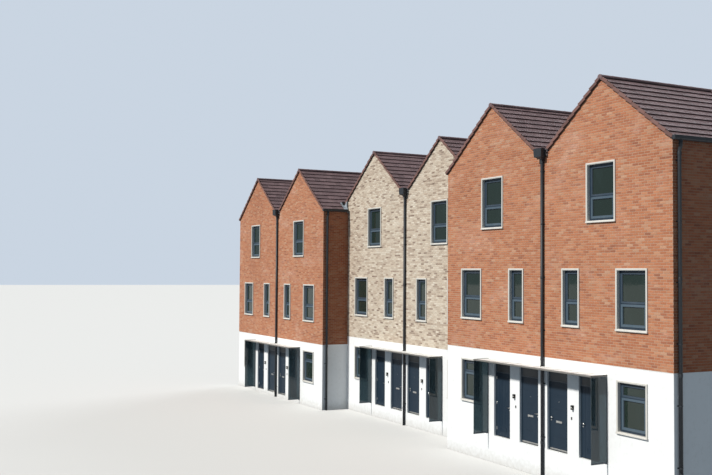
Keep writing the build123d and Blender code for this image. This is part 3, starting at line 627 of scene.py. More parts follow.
# ---- render ----
def render_material():
    q = Mat("white_render")
    x, y, z = q.xyz()
    cloud = q.noise(0.8, 5, 0.6, dist=0.4)
    col = q.mix(q.span(cloud, 0.35, 0.75, 0.0, 0.45, True), (0.76, 0.77, 0.77), (0.69, 0.705, 0.71))
    runs = q.noise(3.2, 5, 0.65, stretch=(1.0, 1.0, 0.09))
    col = q.mix(q.span(runs, 0.56, 0.80, 0.0, 0.30, True), col, (0.60, 0.595, 0.57))
    # splashed foot, a hand or two above the lowest ground
    foot = q.math("ADD", q.span(z, 0.0, 0.42, 1.0, 0.0), q.span(q.noise(7, 4, 0.6), 0.3, 0.7, -0.35, 0.25))
    col = q.mix(q.math("MULTIPLY", foot, 0.42, True), col, (0.36, 0.33, 0.28))
    sand = q.noise(900, 3, 0.6)
    trowel = q.noise(6, 4, 0.5, stretch=(1, 1, 2.2))
    n = q.bump(sand, 0.0008, 0.5)
    n = q.bump(trowel, 0.004, 0.25, prev=n)
    q.set(Specular_IOR_Level=0.25)
    return q.finish(col, q.span(sand, 0.3, 0.7, 0.80, 0.93), n)


RENDER = render_material()


# ---- roof tiles ----
def tile_material(name, base, dark, light, edge=0.5):
    q = Mat(name)
    a, b, c = q.tone()
    col = q.ramp(a, [(0.0, dark), (0.35, base), (0.75, tuple(x * 1.12 for x in base)), (1.0, light)])
    fine = q.noise(260, 5, 0.65)
    col = q.mix(q.span(fine, 0.45, 0.7, 0.0, 0.4), col, dark)
    grey = q.noise(2.3, 6, 0.7, stretch=(1, 1, 0.7))
    col = q.mix(q.span(grey, 0.50, 0.74, 0.0, 0.20, True), col, (0.185, 0.142, 0.140))
    lichen = q.voronoi(36)
    spots = q.math("MULTIPLY", q.span(lichen, 0.10, 0.04, 0, 1, True), q.span(q.noise(1.2, 4, 0.6), 0.55, 0.7, 0, 0.5, True))
    col = q.mix(spots, col, (0.30, 0.28, 0.22))
    col = q.mix(1.0, col, q.ramp(b, [(0.0, 0.90), (1.0, 1.08)]), "MULTIPLY")
    # darker at the foot of each tile edge: painted shade along the course lines, with some dirt; the third number falls
    # to 0 at the foot of an edge
    col = q.mix(1.0, col, q.ramp(c, [(0.0, edge), (0.55, 0.92), (1.0, 1.0)]), "MULTIPLY")
    n = q.bump(fine, 0.0014, 0.6)
    q.set(Specular_IOR_Level=0.32)
    return q.finish(col, q.span(fine, 0.3, 0.7, 0.60, 0.80), n)


# the last number sets the painted shade at the foot of each tile edge
TILE = tile_material("roof_tile", (0.130, 0.085, 0.090), (0.106, 0.068, 0.072), (0.155, 0.102, 0.106), 0.06)
VERGEM = tile_material("verge_unit", (0.152, 0.080, 0.069), (0.118, 0.062, 0.054), (0.182, 0.099, 0.086), 0.10)


def metal_material(name, base, dusty, rough=(0.34, 0.52), metallic=0.0, coat=0.0, grain=240, streaks=0.25, spec=0.45):
    q = Mat(name)
    dust = q.noise(3.0, 6, 0.65, stretch=(1, 1, 0.35))
    col = q.mix(q.span(dust, 0.45, 0.78, 0.0, streaks, True), base, dusty)
    fine = q.noise(grain, 3, 0.5)
    col = q.mix(q.span(fine, 0.45, 0.7, 0.0, 0.15), col, tuple(x * 0.75 for x in base))
    n = q.bump(fine, 0.0004, 0.35)
    q.set(Metallic=metallic, Coat_Weight=coat, Specular_IOR_Level=spec)
    return q.finish(col, q.span(dust, 0.3, 0.7, rough[0], rough[1]), n)


DARK = metal_material("dark_metal", (0.015, 0.019, 0.025), (0.052, 0.056, 0.062), (0.46, 0.62))
FRAME = metal_material("dark_frame", (0.034, 0.053, 0.076), (0.10, 0.122, 0.142), (0.30, 0.45))
# lighter than the window frame: a painted highlight on the lower sashes against the glass
SASH_PAINTED_HIGHLIGHT = metal_material("sash_frame_painted_highlight", (0.062, 0.094, 0.124), (0.13, 0.155, 0.175), (0.30, 0.45))
WINF = metal_material("window_frame", (0.016, 0.029, 0.047), (0.055, 0.073, 0.092), (0.34, 0.50), spec=0.30)
PALE = metal_material("pale_metal", (0.60, 0.585, 0.545), (0.40, 0.385, 0.345), (0.36, 0.55), streaks=0.45)
BLACK = metal_material("black_metal", (0.008, 0.008, 0.009), (0.05, 0.05, 0.05), (0.28, 0.42))
STEEL = metal_material("brushed_steel", (0.55, 0.55, 0.54), (0.36, 0.36, 0.35), (0.22, 0.36), metallic=1.0)
CANOPY = metal_material("canopy_panel", (0.170, 0.163, 0.152), (0.13, 0.122, 0.11), (0.45, 0.62), streaks=0.5)
CANTOP = metal_material("canopy_sheet", (0.74, 0.74, 0.72), (0.52, 0.51, 0.48), (0.45, 0.62), streaks=0.3)
DOOR = metal_material("door_paint", (0.014, 0.026, 0.042), (0.040, 0.056, 0.074), (0.36, 0.50), streaks=0.2, spec=0.16)
HEADP = metal_material("door_head_panel", (0.022, 0.027, 0.034), (0.06, 0.065, 0.072), (0.40, 0.55))
RUBBER = metal_material("dark_gasket", (0.012, 0.012, 0.013), (0.03, 0.03, 0.03), (0.6, 0.8))


def lead_material():
    q = Mat("lead")
    a = q.noise(5.5, 6, 0.65, stretch=(1, 1, 1))
    col = q.mix(q.span(a, 0.3, 0.7, 0, 1, True), (0.205, 0.235, 0.265), (0.36, 0.40, 0.44))
    pale = q.noise(14, 5, 0.7, stretch=(1, 1, 0.4))
    col = q.mix(q.span(pale, 0.55, 0.75, 0, 0.5, True), col, (0.52, 0.56, 0.60))
    dress = q.voronoi(22)
    n = q.bump(q.span(dress, 0.0, 0.6, 0, 1), 0.004, 0.4)
    n = q.bump(q.noise(120, 3, 0.5), 0.0006, 0.5, prev=n)
    q.set(Metallic=0.35, Specular_IOR_Level=0.4)
    return q.finish(col, q.span(pale, 0.3, 0.7, 0.45, 0.66), n)


LEAD = lead_material()


def glass_material(name, tint, rough=0.02, clear=1.0, spec=0.5):
    q = Mat(name)
    wave = q.noise(1.6, 2, 0.4)
    dirt = q.noise(5, 6, 0.7, stretch=(1, 1, 0.5))
    n = q.bump(wave, 0.0035, 0.10)
    q.set(Transmission_Weight=clear, IOR=1.5, Specular_IOR_Level=spec)
    col = q.mix(q.span(dirt, 0.5, 0.8, 0, 0.25, True), tint, tuple(min(1, x * 1.25) for x in tint))
    # slow lighter, bluer patches over each pane: painted reflection
    painted_reflection = q.noise(1.15, 3, 0.55, stretch=(1.6, 1, 0.6), dist=0.7)
    col = q.mix(q.span(painted_reflection, 0.50, 0.72, 0, 0.55, True), col, tuple(min(1, x * f) for x, f in zip(tint, (1.30, 1.30, 1.45))))
    return q.finish(col, q.span(dirt, 0.4, 0.8, rough, rough + 0.05), n)


GLASS = glass_material("glass", (0.027, 0.045, 0.037), 0.02, 0.45, 0.38)
TINT = glass_material("tinted_glass", (0.056, 0.092, 0.108), 0.05, 0.62)


def wood_material():
    q = Mat("floor_deck")
    grain = q.noise(14, 6, 0.7, stretch=(0.25, 4.0, 1.0), dist=0.8)
    col = q.ramp(grain, [(0.2, (0.34, 0.22, 0.12)), (0.55, (0.50, 0.35, 0.20)), (0.9, (0.60, 0.45, 0.29))])
    n = q.bump(grain, 0.001, 0.4)
    return q.finish(col, q.span(grain, 0.2, 0.8, 0.5, 0.7), n)


WOOD = wood_material()


# ----------------------------------------------------------------------
# brickwork: stretcher bond, 225 x 75 mm with 10 mm joints, 5 mm proud of
# the mortar.  Windows are cut out and gables are cut to the roof.
# ----------------------------------------------------------------------
BRICK_L, BRICK_H, JOINT = 0.215, 0.065, 0.010


def windows_of(k, facing):
    """Openings of a pair: (centre x, bottom z, width, height)."""
    name, cx, fy, fz, half = PAIRS[k]
    out = []
    for s in (-1, 1):
        shift = -0.3 if (facing == "front" and k == 0 and s < 0) else 0.0
        out.append((cx + s * WIDE_X, fz + GZ, GW, BAND - GZ, "ground"))
        if facing == "rear":
            out.append((cx + s * NARROW_X, fz + GZ, NARROW_W, BAND - GZ, "ground"))
        out.append((cx + s * WIDE_X, fz + FIRST_Z, WIDE_W, WIN_H, "upper"))
        out.append((cx + s * NARROW_X, fz + FIRST_Z, NARROW_W, WIN_H, "upper"))
        out.append((cx + s * TOP_X + shift, fz + SECOND_Z, TOP_W, WIN_H, "upper"))
    return out


def lay_bricks(B, P, u0, u1, zb, zt, holes, rnd, phase=0, tops=None, h=0.005):
    """tops: list of (a, b, list of (p, q, r)) saying that between u = a and b, p u + q w <= r holds."""
    n = int(math.ceil((zt - zb) / 0.075))
    for i in range(n):
        w0 = zb + i * 0.075 + JOINT
        w1 = min(w0 + BRICK_H, zt)
        if w1 - w0 < 0.02:
            continue
        start = u0 - (0.1125 if (i + phase) % 2 else 0.0)
        j = 0
        while True:
            a = start + j * 0.225
            if a > u1 - 0.01:
                break
            j += 1
            b = a + BRICK_L + rnd.uniform(-0.002, 0.0015)
            a2 = a + rnd.uniform(-0.0015, 0.002)
            ra, rb = max(a2, u0), min(b, u1)
            if rb - ra < 0.02:
                continue
            jz = rnd.uniform(-0.0012, 0.0012)
            rects = [(ra, rb, w0 + jz, w1 + jz)]
            for hole in holes:
                rects = minus(rects, hole)
            kiln = rnd.random()
            tone = (kiln, rnd.random(), rnd.random())
            hh = h + rnd.uniform(-0.0014, 0.0010)
            for (a3, b3, c3, d3) in rects:
                if tops and d3 > tops[0][3]:
                    for (ta, tb, planes, free) in tops:
                        pa, pb = max(a3, ta), min(b3, tb)
                        if pb - pa < 0.004:
                            continue
                        poly = [(pa, c3), (pb, c3), (pb, d3), (pa, d3)]
                        for (p, q, r) in planes:
                            poly = clip(poly, p, q, r)
                            if len(poly) < 3:
                                break
                        if len(poly) >= 3:
                            slab(B, P, poly, hh, 0.0035, tone, wob=0.0006, rnd=rnd)
                else:
                    slab(B, P, [(a3, c3), (b3, c3), (b3, d3), (a3, d3)], hh, 0.0035, tone,
                         wob=0.0006, rnd=rnd)


def gable_tops(cx, fz, half):
    t = []
    for h in (-1, 1):
        rx = cx + h * APX
        top = fz + APZ + RAISE - 0.006
        # w <= top - |u - rx| SL
        planes = [(SL, 1.0, top + rx * SL), (-SL, 1.0, top - rx * SL)]
        if h < 0:
            t.append((cx - half - 0.01, cx - VALX, planes, fz + APZ - (half - APX) * SL - 0.02))
        else:
            t.append((cx + VALX, cx + half + 0.01, planes, 0.0))
    vt = fz + APZ - (APX - VALX) * SL
    t.append((cx - VALX, cx + VALX, [(0.0, 1.0, vt)], 0.0))
    return t


BRICKM = (RED, BUFF, RED)
BRICKS = ("red_brick", "buff_brick", "red_brick")
rnd = random.Random(41)

for k, (name, cx, fy, fz, half) in enumerate(PAIRS):
    P = wall_basis("front", fy)
    holes = [(x - w / 2 - 0.002, x + w / 2 + 0.002, z - 0.002, z + h + 0.002)
             for x, z, w, h, kind in windows_of(k, "front") if kind == "upper"]
    B = Build()
    ext = 0.004 if k != 1 else 0.0
    lay_bricks(B, P, cx - half - ext, cx + half + ext, fz + RTOP, fz + APZ + RAISE, holes, rnd,
               tops=gable_tops(cx, fz, half))
    B.make(f"{name}_front_bricks", BRICKS[k], [BRICKM[k]])

# rear: (pair, x from, x to, wall plane)
REAR = [(0, -ENDX, -5.55, RYA), (1, -5.55, 5.55, RYB), (2, 5.55, ENDX, RYA)]
for k, xa, xb, ry in REAR:
    name, cx, fy, fz, half = PAIRS[k]
    P = wall_basis("rear", ry)
    holes = [(-(x + w / 2) - 0.002, -(x - w / 2) + 0.002, z - 0.002, z + h + 0.002)
             for x, z, w, h, kind in windows_of(k, "rear") if kind == "upper"]
    B = Build()
    lay_bricks(B, P, -xb, -xa, fz + RTOP, fz + EAVES_Z + RAISE - 0.005, holes, rnd)
    B.make(f"{name}_rear_bricks", BRICKS[k], [BRICKM[k]])


# sides: name, facing, plane x, y from, y to, pair, brick
SIDES = [
    # the red ends and returns take the darker copy of the brick, painted shade
    ("left_end_bricks", "left", -ENDX, YA, RYA, 0, RED_BRICK_PAINTED_SHADE, "red_brick"),
    ("right_end_bricks", "right", ENDX, YA, RYA, 2, RED_BRICK_PAINTED_SHADE, "red_brick"),
    ("lower_return_bricks", "right", -5.25, YA, YB, 0, RED_BRICK_PAINTED_SHADE, "red_brick"),
    ("upper_return_bricks", "left", 5.25, YA, YB, 2, RED_BRICK_PAINTED_SHADE, "red_brick"),
    ("middle_rear_return_bricks_left", "left", -5.55, RYA, RYB, 1, BUFF, "buff_brick"),
    ("middle_rear_return_bricks_right", "right", 5.55, RYA, RYB, 1, BUFF, "buff_brick"),
]
for nm, facing, px, ya, yb, k, mat, sl in SIDES:
    fz = PAIRS[k][3]
    P = wall_basis(facing, px)
    u0, u1 = (ya, yb) if facing == "right" else (-yb, -ya)
    top = EAVES_Z if abs(px) != 5.55 else APZ - (5.55 - APX) * SL
    B = Build()
    lay_bricks(B, P, u0, u1, fz + RTOP, fz + top + RAISE - 0.005, [], rnd, phase=1)
    B.make(nm, sl, [mat])

# mortar behind the last courses, on top of the side and rear walls
HEADS = Build()
MORTAR_OF = (0, 1, 0)
for nm, facing, px, ya, yb, k, mat, sl in SIDES:
    s = 1 if facing == "right" else -1
    e = EAVES_Z if abs(px) != 5.55 else APZ - (5.55 - APX) * SL
    z = PAIRS[k][3] + e
    box(HEADS, (px - s * 0.070, ya, z - 0.02), (px, yb, z + RAISE - 0.004), 0.001, m=MORTAR_OF[k])
for k, xa, xb, ry in REAR:
    z = PAIRS[k][3] + EAVES_Z
    cut = 0.155 if k == 1 else 0.0
    t0, t1, lo = z + RAISE - 0.004, z + RAISE - 0.004 - cut * SL, z - 0.15
    box(HEADS, (xa + cut, ry - 0.070, z - 0.02), (xb - cut, ry, t0), 0.001, m=MORTAR_OF[k])
    if cut:  # the outer slopes of the middle pair run lower, so the ends slope with them
        for a, b, ta, tb in ((xa, xa + cut, t1, t0), (xb - cut, xb, t0, t1)):
            y0, y1 = ry - 0.070, ry - 0.0005
            HEADS.add([(a, y0, lo), (b, y0, lo), (b, y1, lo), (a, y1, lo), (a, y0, ta), (b, y0, tb), (b, y1, tb), (a, y1, ta)],
                      [(0, 3, 2, 1), (4, 5, 6, 7), (0, 1, 5, 4), (1, 2, 6, 5), (2, 3, 7, 6), (3, 0, 4, 7)],
                      (0.5, 0.5, 0.5), MORTAR_OF[k])

# ----------------------------------------------------------------------
# render: fronts are the CAD's own walls; ends, returns and rears get a coat
# ----------------------------------------------------------------------
B = Build()
for facing, px, ya, yb, k in (("left", -ENDX, YA, RYA, 0), ("right", ENDX, YA, RYA, 2),
                              ("right", -5.25, YA, YB, 0), ("left", 5.25, YA, YB, 2),
                              ("left", -5.55, RYA, RYB, 1), ("right", 5.55, RYA, RYB, 1)):
    fz = PAIRS[k][3]
    P = wall_basis(facing, px)
    u0, u1 = (ya, yb) if facing == "right" else (-yb, -ya)
    flat_panel(B, P, [u0, u1], [0.0, fz + RTOP], [], 0.005)
B.make("render_coat_sides", "white_render", [RENDER])
B = Build()
for k, xa, xb, ry in REAR:
    fz = PAIRS[k][3]
    P = wall_basis("rear", ry)
    holes = [(-(x + w / 2), -(x - w / 2), z, z + h) for x, z, w, h, kind in windows_of(k, "rear")
             if kind == "ground"]
    flat_panel(B, P, [-xb, -xa], [0.0, fz + RTOP], holes, 0.005)
B.make("render_coat_rears", "white_render", [RENDER])

# plinth coat below each ground floor, over the ends of the cross walls too
B = Build()
for k, (name, cx, fy, fz, half) in enumerate(PAIRS):
    P = wall_basis("front", fy)
    xa, xb = (cx - half, cx + half)
    steps = 6
    for q in range(steps):
        a = xa + (xb - xa) * q / steps
        b = xa + (xb - xa) * (q + 1) / steps
        e0 = 0.006 if q == 0 and k != 1 else 0.0
        e1 = 0.006 if q == steps - 1 and k != 1 else 0.0
        box(B, (a - e0, 0.0, -0.003), (b + e1, fz - 0.006, 0.008), 0.003, P=P)
    box(B, (xa - (0.006 if k != 1 else 0), fz - 0.009, -0.003), (xb + (0.006 if k != 1 else 0), fz + 0.001, 0.012), 0.003, P=P)
B.make("plinth_coats", "white_render", [RENDER])

# the bead that stops the render under the bricks
B = Build()
for k, (name, cx, fy, fz, half) in enumerate(PAIRS):
    P = wall_basis("front", fy)
    box(B, (cx - half, fz + RTOP - 0.010, -0.003), (cx + half, fz + RTOP + 0.002, 0.0065), 0.002, P=P)
    k2, xa, xb, ry = REAR[k]
    P = wall_basis("rear", ry)
    box(B, (-xb, fz + RTOP - 0.010, -0.003), (-xa, fz + RTOP + 0.002, 0.0075), 0.002, P=P)
for nm, facing, px, ya, yb, k, mat, sl in SIDES:
    P = wall_basis(facing, px)
    u0, u1 = (ya, yb) if facing == "right" else (-yb, -ya)
    box(B, (u0, PAIRS[k][3] + RTOP - 0.010, -0.003), (u1, PAIRS[k][3] + RTOP + 0.002, 0.0075), 0.002, P=P)
B.make("render_stop_beads", "white_render", [RENDER])


# ----------------------------------------------------------------------
# roof: a deck under separate tiles in courses, verge units, ridge and hip
# tiles.  Every plane keeps to the CAD's.
# ----------------------------------------------------------------------
GAUGE, TILE_W, STEP_T = 0.310, 0.300, 0.034
LOW = 0.0006


def plan_planes(P, planes):
    """a x + b y <= c in plan, as a limit on (u, w) of a roof plane."""
    out = []
    for a, b, c in planes:
        out.append((a * P.u[0] + b * P.u[1], a * P.w[0] + b * P.w[1], c - a * P.o[0] - b * P.o[1]))
    return out


def roof_basis(kind, s, ox, oy, oz):
    if kind == "side":
        return Basis((ox, oy, oz), (0, s, 0), (-s * CT, 0, ST), (s * ST, 0, CT))
    return Basis((ox, oy, oz), (-1, 0, 0), (0, -CT, ST), (0, ST, CT))


def clip_all(poly, planes):
    for a, b, c in planes:
        poly = clip(poly, a, b, c)
        if len(poly) < 3:
            return []
    return tidy(poly)


def tile_height(w0):
    return lambda w: -LOW - STEP_T * min(1.15, max(0.0, (w - w0) / GAUGE))


def lay_tiles(B, P, regions, common, ulo, uhi, wlo, whi, rnd, front_w):
    """regions: lists of (u, w) limits; a tile above front_w uses the common one."""
    i0 = int(math.floor(wlo / GAUGE + 1e-6))
    i1 = int(math.ceil(whi / GAUGE))
    for i in range(i0, i1):
        w0 = i * GAUGE
        start = ulo - 0.35 + (0.15 if i % 2 else 0.0)
        n = int((uhi - ulo + 0.8) / TILE_W) + 1
        for j in range(n):
            a, b = start + j * TILE_W, start + (j + 1) * TILE_W - 0.004
            use = [common] if w0 >= front_w - 1e-6 else regions
            tone = (rnd.random(), rnd.random(), rnd.random())
            lift = rnd.uniform(-0.0012, 0.0006)
            for planes in use:
                poly = clip_all([(a, w0), (b, w0), (b, w0 + GAUGE + 0.02), (a, w0 + GAUGE + 0.02)], planes)
                if len(poly) < 3 or poly_area(poly) < 0.0012:
                    continue
                hf0 = tile_height(w0)
                slab(B, P, poly, 0, 0.0028, tone, base=-STEP_T - 0.004,
                     hf=lambda w, f=hf0, q=lift: f(w) + q, under=0.012)


def deck(B, P, poly, h0, h1, tone=(0.5, 0.5, 0.5), m=0):
    """A closed plate between two heights over a plane."""
    poly = tidy(poly)
    if len(poly) < 3 or poly_area(poly) < 1e-4:
        return
    n = len(poly)
    v = [P.at(p[0], p[1], h0) for p in poly] + [P.at(p[0], p[1], h1) for p in poly]
    f = [tuple(range(n, 2 * n)), tuple(range(n))[::-1]] + \
        [(i, (i + 1) % n, n + (i + 1) % n, n + i) for i in range(n)]
    B.add(v, f, tone, m)


# near-black board edges under the verges and gutters: the colour is painted shade for the dark band under the
# overhangs, on a real edge board
DECK_PAINTED_SHADE = metal_material("roof_edge_board_painted_shade", (0.036, 0.021, 0.018), (0.075, 0.052, 0.046), (0.60, 0.80))
rnd = random.Random(97)
DECK = Build()
VERGES, RIDGES, HIPS = Build(), Build(), Build()


def verge_run(P, s_u, length, rnd):
    """Verge units up one gable edge. u is 0 at the edge, and s_u is the sign of u pointing out.
    Each unit leans in by a few millimetres, so the next one laps over its upper end."""
    n = int(math.ceil(length / GAUGE))
    for i in range(n):
        w0 = i * GAUGE
        w1 = min((i + 1) * GAUGE + 0.018, length)
        if w1 - w0 < 0.03:
            continue
        tone = (rnd.random(), rnd.random(), 1.0)
        drop = STEP_T * (w1 - w0) / GAUGE
        up0, up1 = 0.013, 0.013 - drop
        lean = 0.005 * (w1 - w0) / GAUGE

        def plate(a0, b0, lo, hi, m=0):
            # inward distances a0..b0 from the edge, heights lo..hi at the foot
            pts = []
            for w, da, dh in ((w0, 0.0, 0.0), (w1, lean, drop)):
                for q, z in ((a0, lo), (b0, lo), (b0, hi), (a0, hi)):
                    pts.append(P.at(-s_u * (q + da), w, z - dh))
            f = [(0, 1, 2, 3), (7, 6, 5, 4), (0, 4, 5, 1), (1, 5, 6, 2), (2, 6, 7, 3), (3, 7, 4, 0)]
            VERGES.add(pts, [g[::-1] for g in f] if s_u < 0 else f, tone, m)

        plate(0.0, 0.014, -0.049, 0.042)
        plate(0.0138, 0.066, up0 - 0.010, up0)
        # the raised roll along the edge, and a drip nib below
        plate(0.0005, 0.030, up0 - 0.001, 0.036)
        plate(0.004, 0.024, 0.035, 0.040)
        plate(-0.0025, 0.016, -0.054, -0.045)


def ridge_station(o, d, a, b, k):
    return lambda p: tuple(o + a * p[0] * k + b * p[1] * k)


def cap_profile(half, fall, rise, n=14, thick=0.013):
    """Outline of a rounded ridge tile, crown up: (across, up) from the planes' meeting line."""
    low = -half * fall + 0.004
    out = []
    for i in range(n + 1):
        t = math.pi * (i / n - 0.5)
        out.append((half * math.sin(t), low + (rise - low) * (math.cos(t) ** 0.72 if math.cos(t) > 1e-9 else 0.0)))
    inn = [(x * (1 - thick / half), max(low, z - thick)) for x, z in out]
    return out + inn[::-1]


def cap_run(B, start, along, across, up, length, half, fall, rise, rnd, unit=0.45):
    """A run of ridge tiles from start; each has a wider socket at its lower or outer end."""
    start, along, across, up = Vector(start), Vector(along), Vector(across), Vector(up)
    prof = cap_profile(half, fall, rise)
    m = max(1, int(round(length / unit)))
    step = length / m
    for i in range(m):
        a0, a1 = i * step, (i + 1) * step - 0.004
        tone = (rnd.random(), rnd.random(), 1.0)
        lift = rnd.uniform(-0.0015, 0.001)
        st = []
        for off, k, dz in ((a0, 0.955, 0.0), (a0 + 0.002, 1.0, 0.0), (a0 + 0.058, 1.0, 0.0),
                           (a0 + 0.063, 0.950, -0.001), (a1, 0.945, -0.002)):
            o = start + along * off + up * (dz + lift)
            st.append(lambda p, o=o, k=k: tuple(o + across * (p[0] * k) + up * (p[1] * (k if p[1] > 0 else 1.0))))
        sweep(B, prof, st, tone=tone, caps=True, smooth=False)


for k, (name, cx, fy, fz, half) in enumerate(PAIRS):
    TILES = Build()
    ye = fy + DEPTH + EAVES_OVER
    hy = fy + RIDGE_Y
    ys = fy - VG
    turn = RYA + EAVES_OVER + 0.005
    top = fz + APZ + ROOFV + LIFT
    for h in (-1, 1):
        rx = cx + h * APX
        if h < 0:
            right = [(ys, ye, cx - VALX)]
            left = ([(ys, ye, cx - half - EAVES_OVER)] if k == 0 else
                    [(ys, turn, PAIRS[0][1] + PAIRV + 0.08), (turn, ye, cx - half - WALL - EAVES_OVER)] if k == 1 else
                    [(ys, ye, PAIRS[1][1] + PAIRV + 0.08)])
        else:
            left = [(ys, ye, cx + VALX)]
            right = ([(ys, YB - VERGE - 0.005, cx + half + EAVES_OVER), (YB - VERGE - 0.005, ye, cx + PAIRV - 0.08)] if k == 0 else
                     [(ys, turn, cx + PAIRV - 0.08), (turn, ye, cx + half + WALL + EAVES_OVER)] if k == 1 else
                     [(ys, ye, cx + half + EAVES_OVER)])
        for s, runs in ((-1, left), (1, right)):
            D0 = abs(runs[0][2] - rx)
            Ds = [abs(r[2] - rx) for r in runs]
            P = roof_basis("side", s, rx + s * D0, 0.0, top - D0 * SL)
            W0 = D0 / CT
            hip = (-s, 1.0, hy - s * rx)      # y - s x <= hy - s rx
            joint = 0.006
            side = (-s, 0.0, -s * rx - joint)  # keep a hair from the ridge line
            regions = []
            for (ya, yb, xe) in runs:
                regions.append(plan_planes(P, [hip, side, (0, -1, -ya - (0.012 if abs(ya - ys) < 1e-6 else 0.0)), (0, 1, yb), (s, 0, s * xe)]))
            common = plan_planes(P, [hip, side, (0, -1, -ys - 0.012), (0, 1, ye)])
            dmin = min(Ds)
            front_w = (D0 - dmin) / CT
            if len(runs) > 1 and dmin < D0:
                front_w = math.ceil(front_w / GAUGE) * GAUGE
            us = sorted((s * ys, s * ye))
            wlo = (D0 - max(Ds)) / CT
            lay_tiles(TILES, P, regions, common, us[0], us[1], wlo, W0, rnd,
                      front_w if len(runs) > 1 else wlo - 1)
            # deck, with its board edges
            big = [(us[0] - 1, wlo - 1), (us[1] + 1, wlo - 1), (us[1] + 1, W0 + 1), (us[0] - 1, W0 + 1)]
            for (ya, yb, xe), reg in zip(runs, regions):
                back = plan_planes(P, [(0, -1, -ya - (0.020 if abs(ya - ys) < 1e-6 else 0.0))])
                deck(DECK, P, clip_all(big, reg + back), ROOF_B, -STEP_T - 0.006)
            # mortar head on the gable wall, up to the deck
            wall = plan_planes(P, [side, (0, -1, -fy), (0, 1, fy + 0.07),
                                   (s, 0, s * (cx + h * half) if s == h else s * (cx + h * VALX))])
            deck(HEADS, P, clip_all(big, wall), -0.186, ROOF_B - 0.0005, m=MORTAR_OF[k])
            # verge units along the gable edge: u of the edge is s * ys
            V = Basis(P.at(s * ys, 0, 0), P.u, P.w, P.n)
            verge_run(V, -s, W0 - 0.030, rnd)
        # rear hip
        e = ye - hy
        P = roof_basis("hip", 1, rx, ye, top - e * SL)
        out_x = rx + h * e
        planes = [(1, -1, rx - hy), (-1, -1, -rx - hy), (0, 1, ye), (-h, 0, -h * cx - 0.002)]
        if k == 0 and h > 0:
            planes.append((1, 0, -5.55 - 0.003))
        reg = plan_planes(P, planes)
        W = e / CT
        lay_tiles(TILES, P, [reg], reg, -e - 0.2, e + 0.2, 0.0, W, rnd, -1)
        deck(DECK, P, clip_all([(-e - 1, -0.5), (e + 1, -0.5), (e + 1, W + 1), (-e - 1, W + 1)], reg),
             ROOF_B, -STEP_T - 0.006)
        # ridge tiles and the cap that closes them at the gable
        cap_run(RIDGES, (rx, ys - 0.006, top), (0, 1, 0), (-1, 0, 0), (0, 0, 1), hy - ys + 0.10, 0.088, SL,
                0.030, rnd)
        prof = [p for p in cap_profile(0.091, SL, 0.034)][:15]
        face = prof + [(0.087, -0.087 * SL - 0.070), (0.0, -0.068), (-0.087, -0.087 * SL - 0.070)]
        o = Vector((rx, ys, top))
        sweep(RIDGES, face, [lambda p, o=o: (o[0] - p[0], o[1] - 0.007, o[2] + p[1]),
                             lambda p, o=o: (o[0] - p[0], o[1] + 0.016, o[2] + p[1])],
              tone=(0.8, 0.7, 1.0))
        # hip tiles, laid upwards from the eaves or the valley
        fall = SL / math.sqrt(2 + SL * SL)
        for s in (-1, 1):
            run = DEPTH + EAVES_OVER - RIDGE_Y - 0.03
            if s != h:
                run = APX - VALX - 0.08
            if k == 0 and h > 0 and s > 0:
                run = -5.55 - 0.003 - rx - 0.12
            g = math.sqrt(2 + SL * SL)
            low_end = Vector((rx + s * run, hy + run, top - run * SL))
            along = Vector((-s, -1, SL)).normalized()
            across = Vector((s, -1, 0)).normalized() * (1 if s > 0 else -1)
            up = along.cross(across) if False else Vector((s * SL, SL, 2)).normalized()
            across = up.cross(along).normalized()
            cap_run(HIPS, low_end, along, across, up, (run - 0.05) * g, 0.088, fall, 0.032, rnd)
            # closing cap at the foot of the hip
            pr = cap_profile(0.090, fall, 0.034)[:15]
            face = pr + [(0.0, -0.02)]
            sweep(HIPS, face, [lambda p, o=low_end - along * 0.012: tuple(o + across * p[0] + up * p[1]),
                               lambda p, o=low_end + along * 0.004: tuple(o + across * p[0] + up * p[1])],
                  tone=(0.4, 0.5, 1.0))
    reps = []
    TILES.make(f"{name}_roof_tiles", "roof_tile", [TILE])

DECK.make("roof_deck_boards", "roof_tile", [DECK_PAINTED_SHADE],
          replaces=("roof_left_slopes", "roof_right_slopes", "roof_rear_hips"))
VERGES.make("verge_units", "roof_tile", [VERGEM])
RIDGES.make("ridge_tiles", "roof_tile", [TILE], replaces=("ridge_caps",))
HIPS.make("hip_tiles", "roof_tile", [TILE], replaces=("hip_caps",))
HEADS.make("wall_head_mortar", "red_brick", [MORTAR_RED, MORTAR_BUFF])

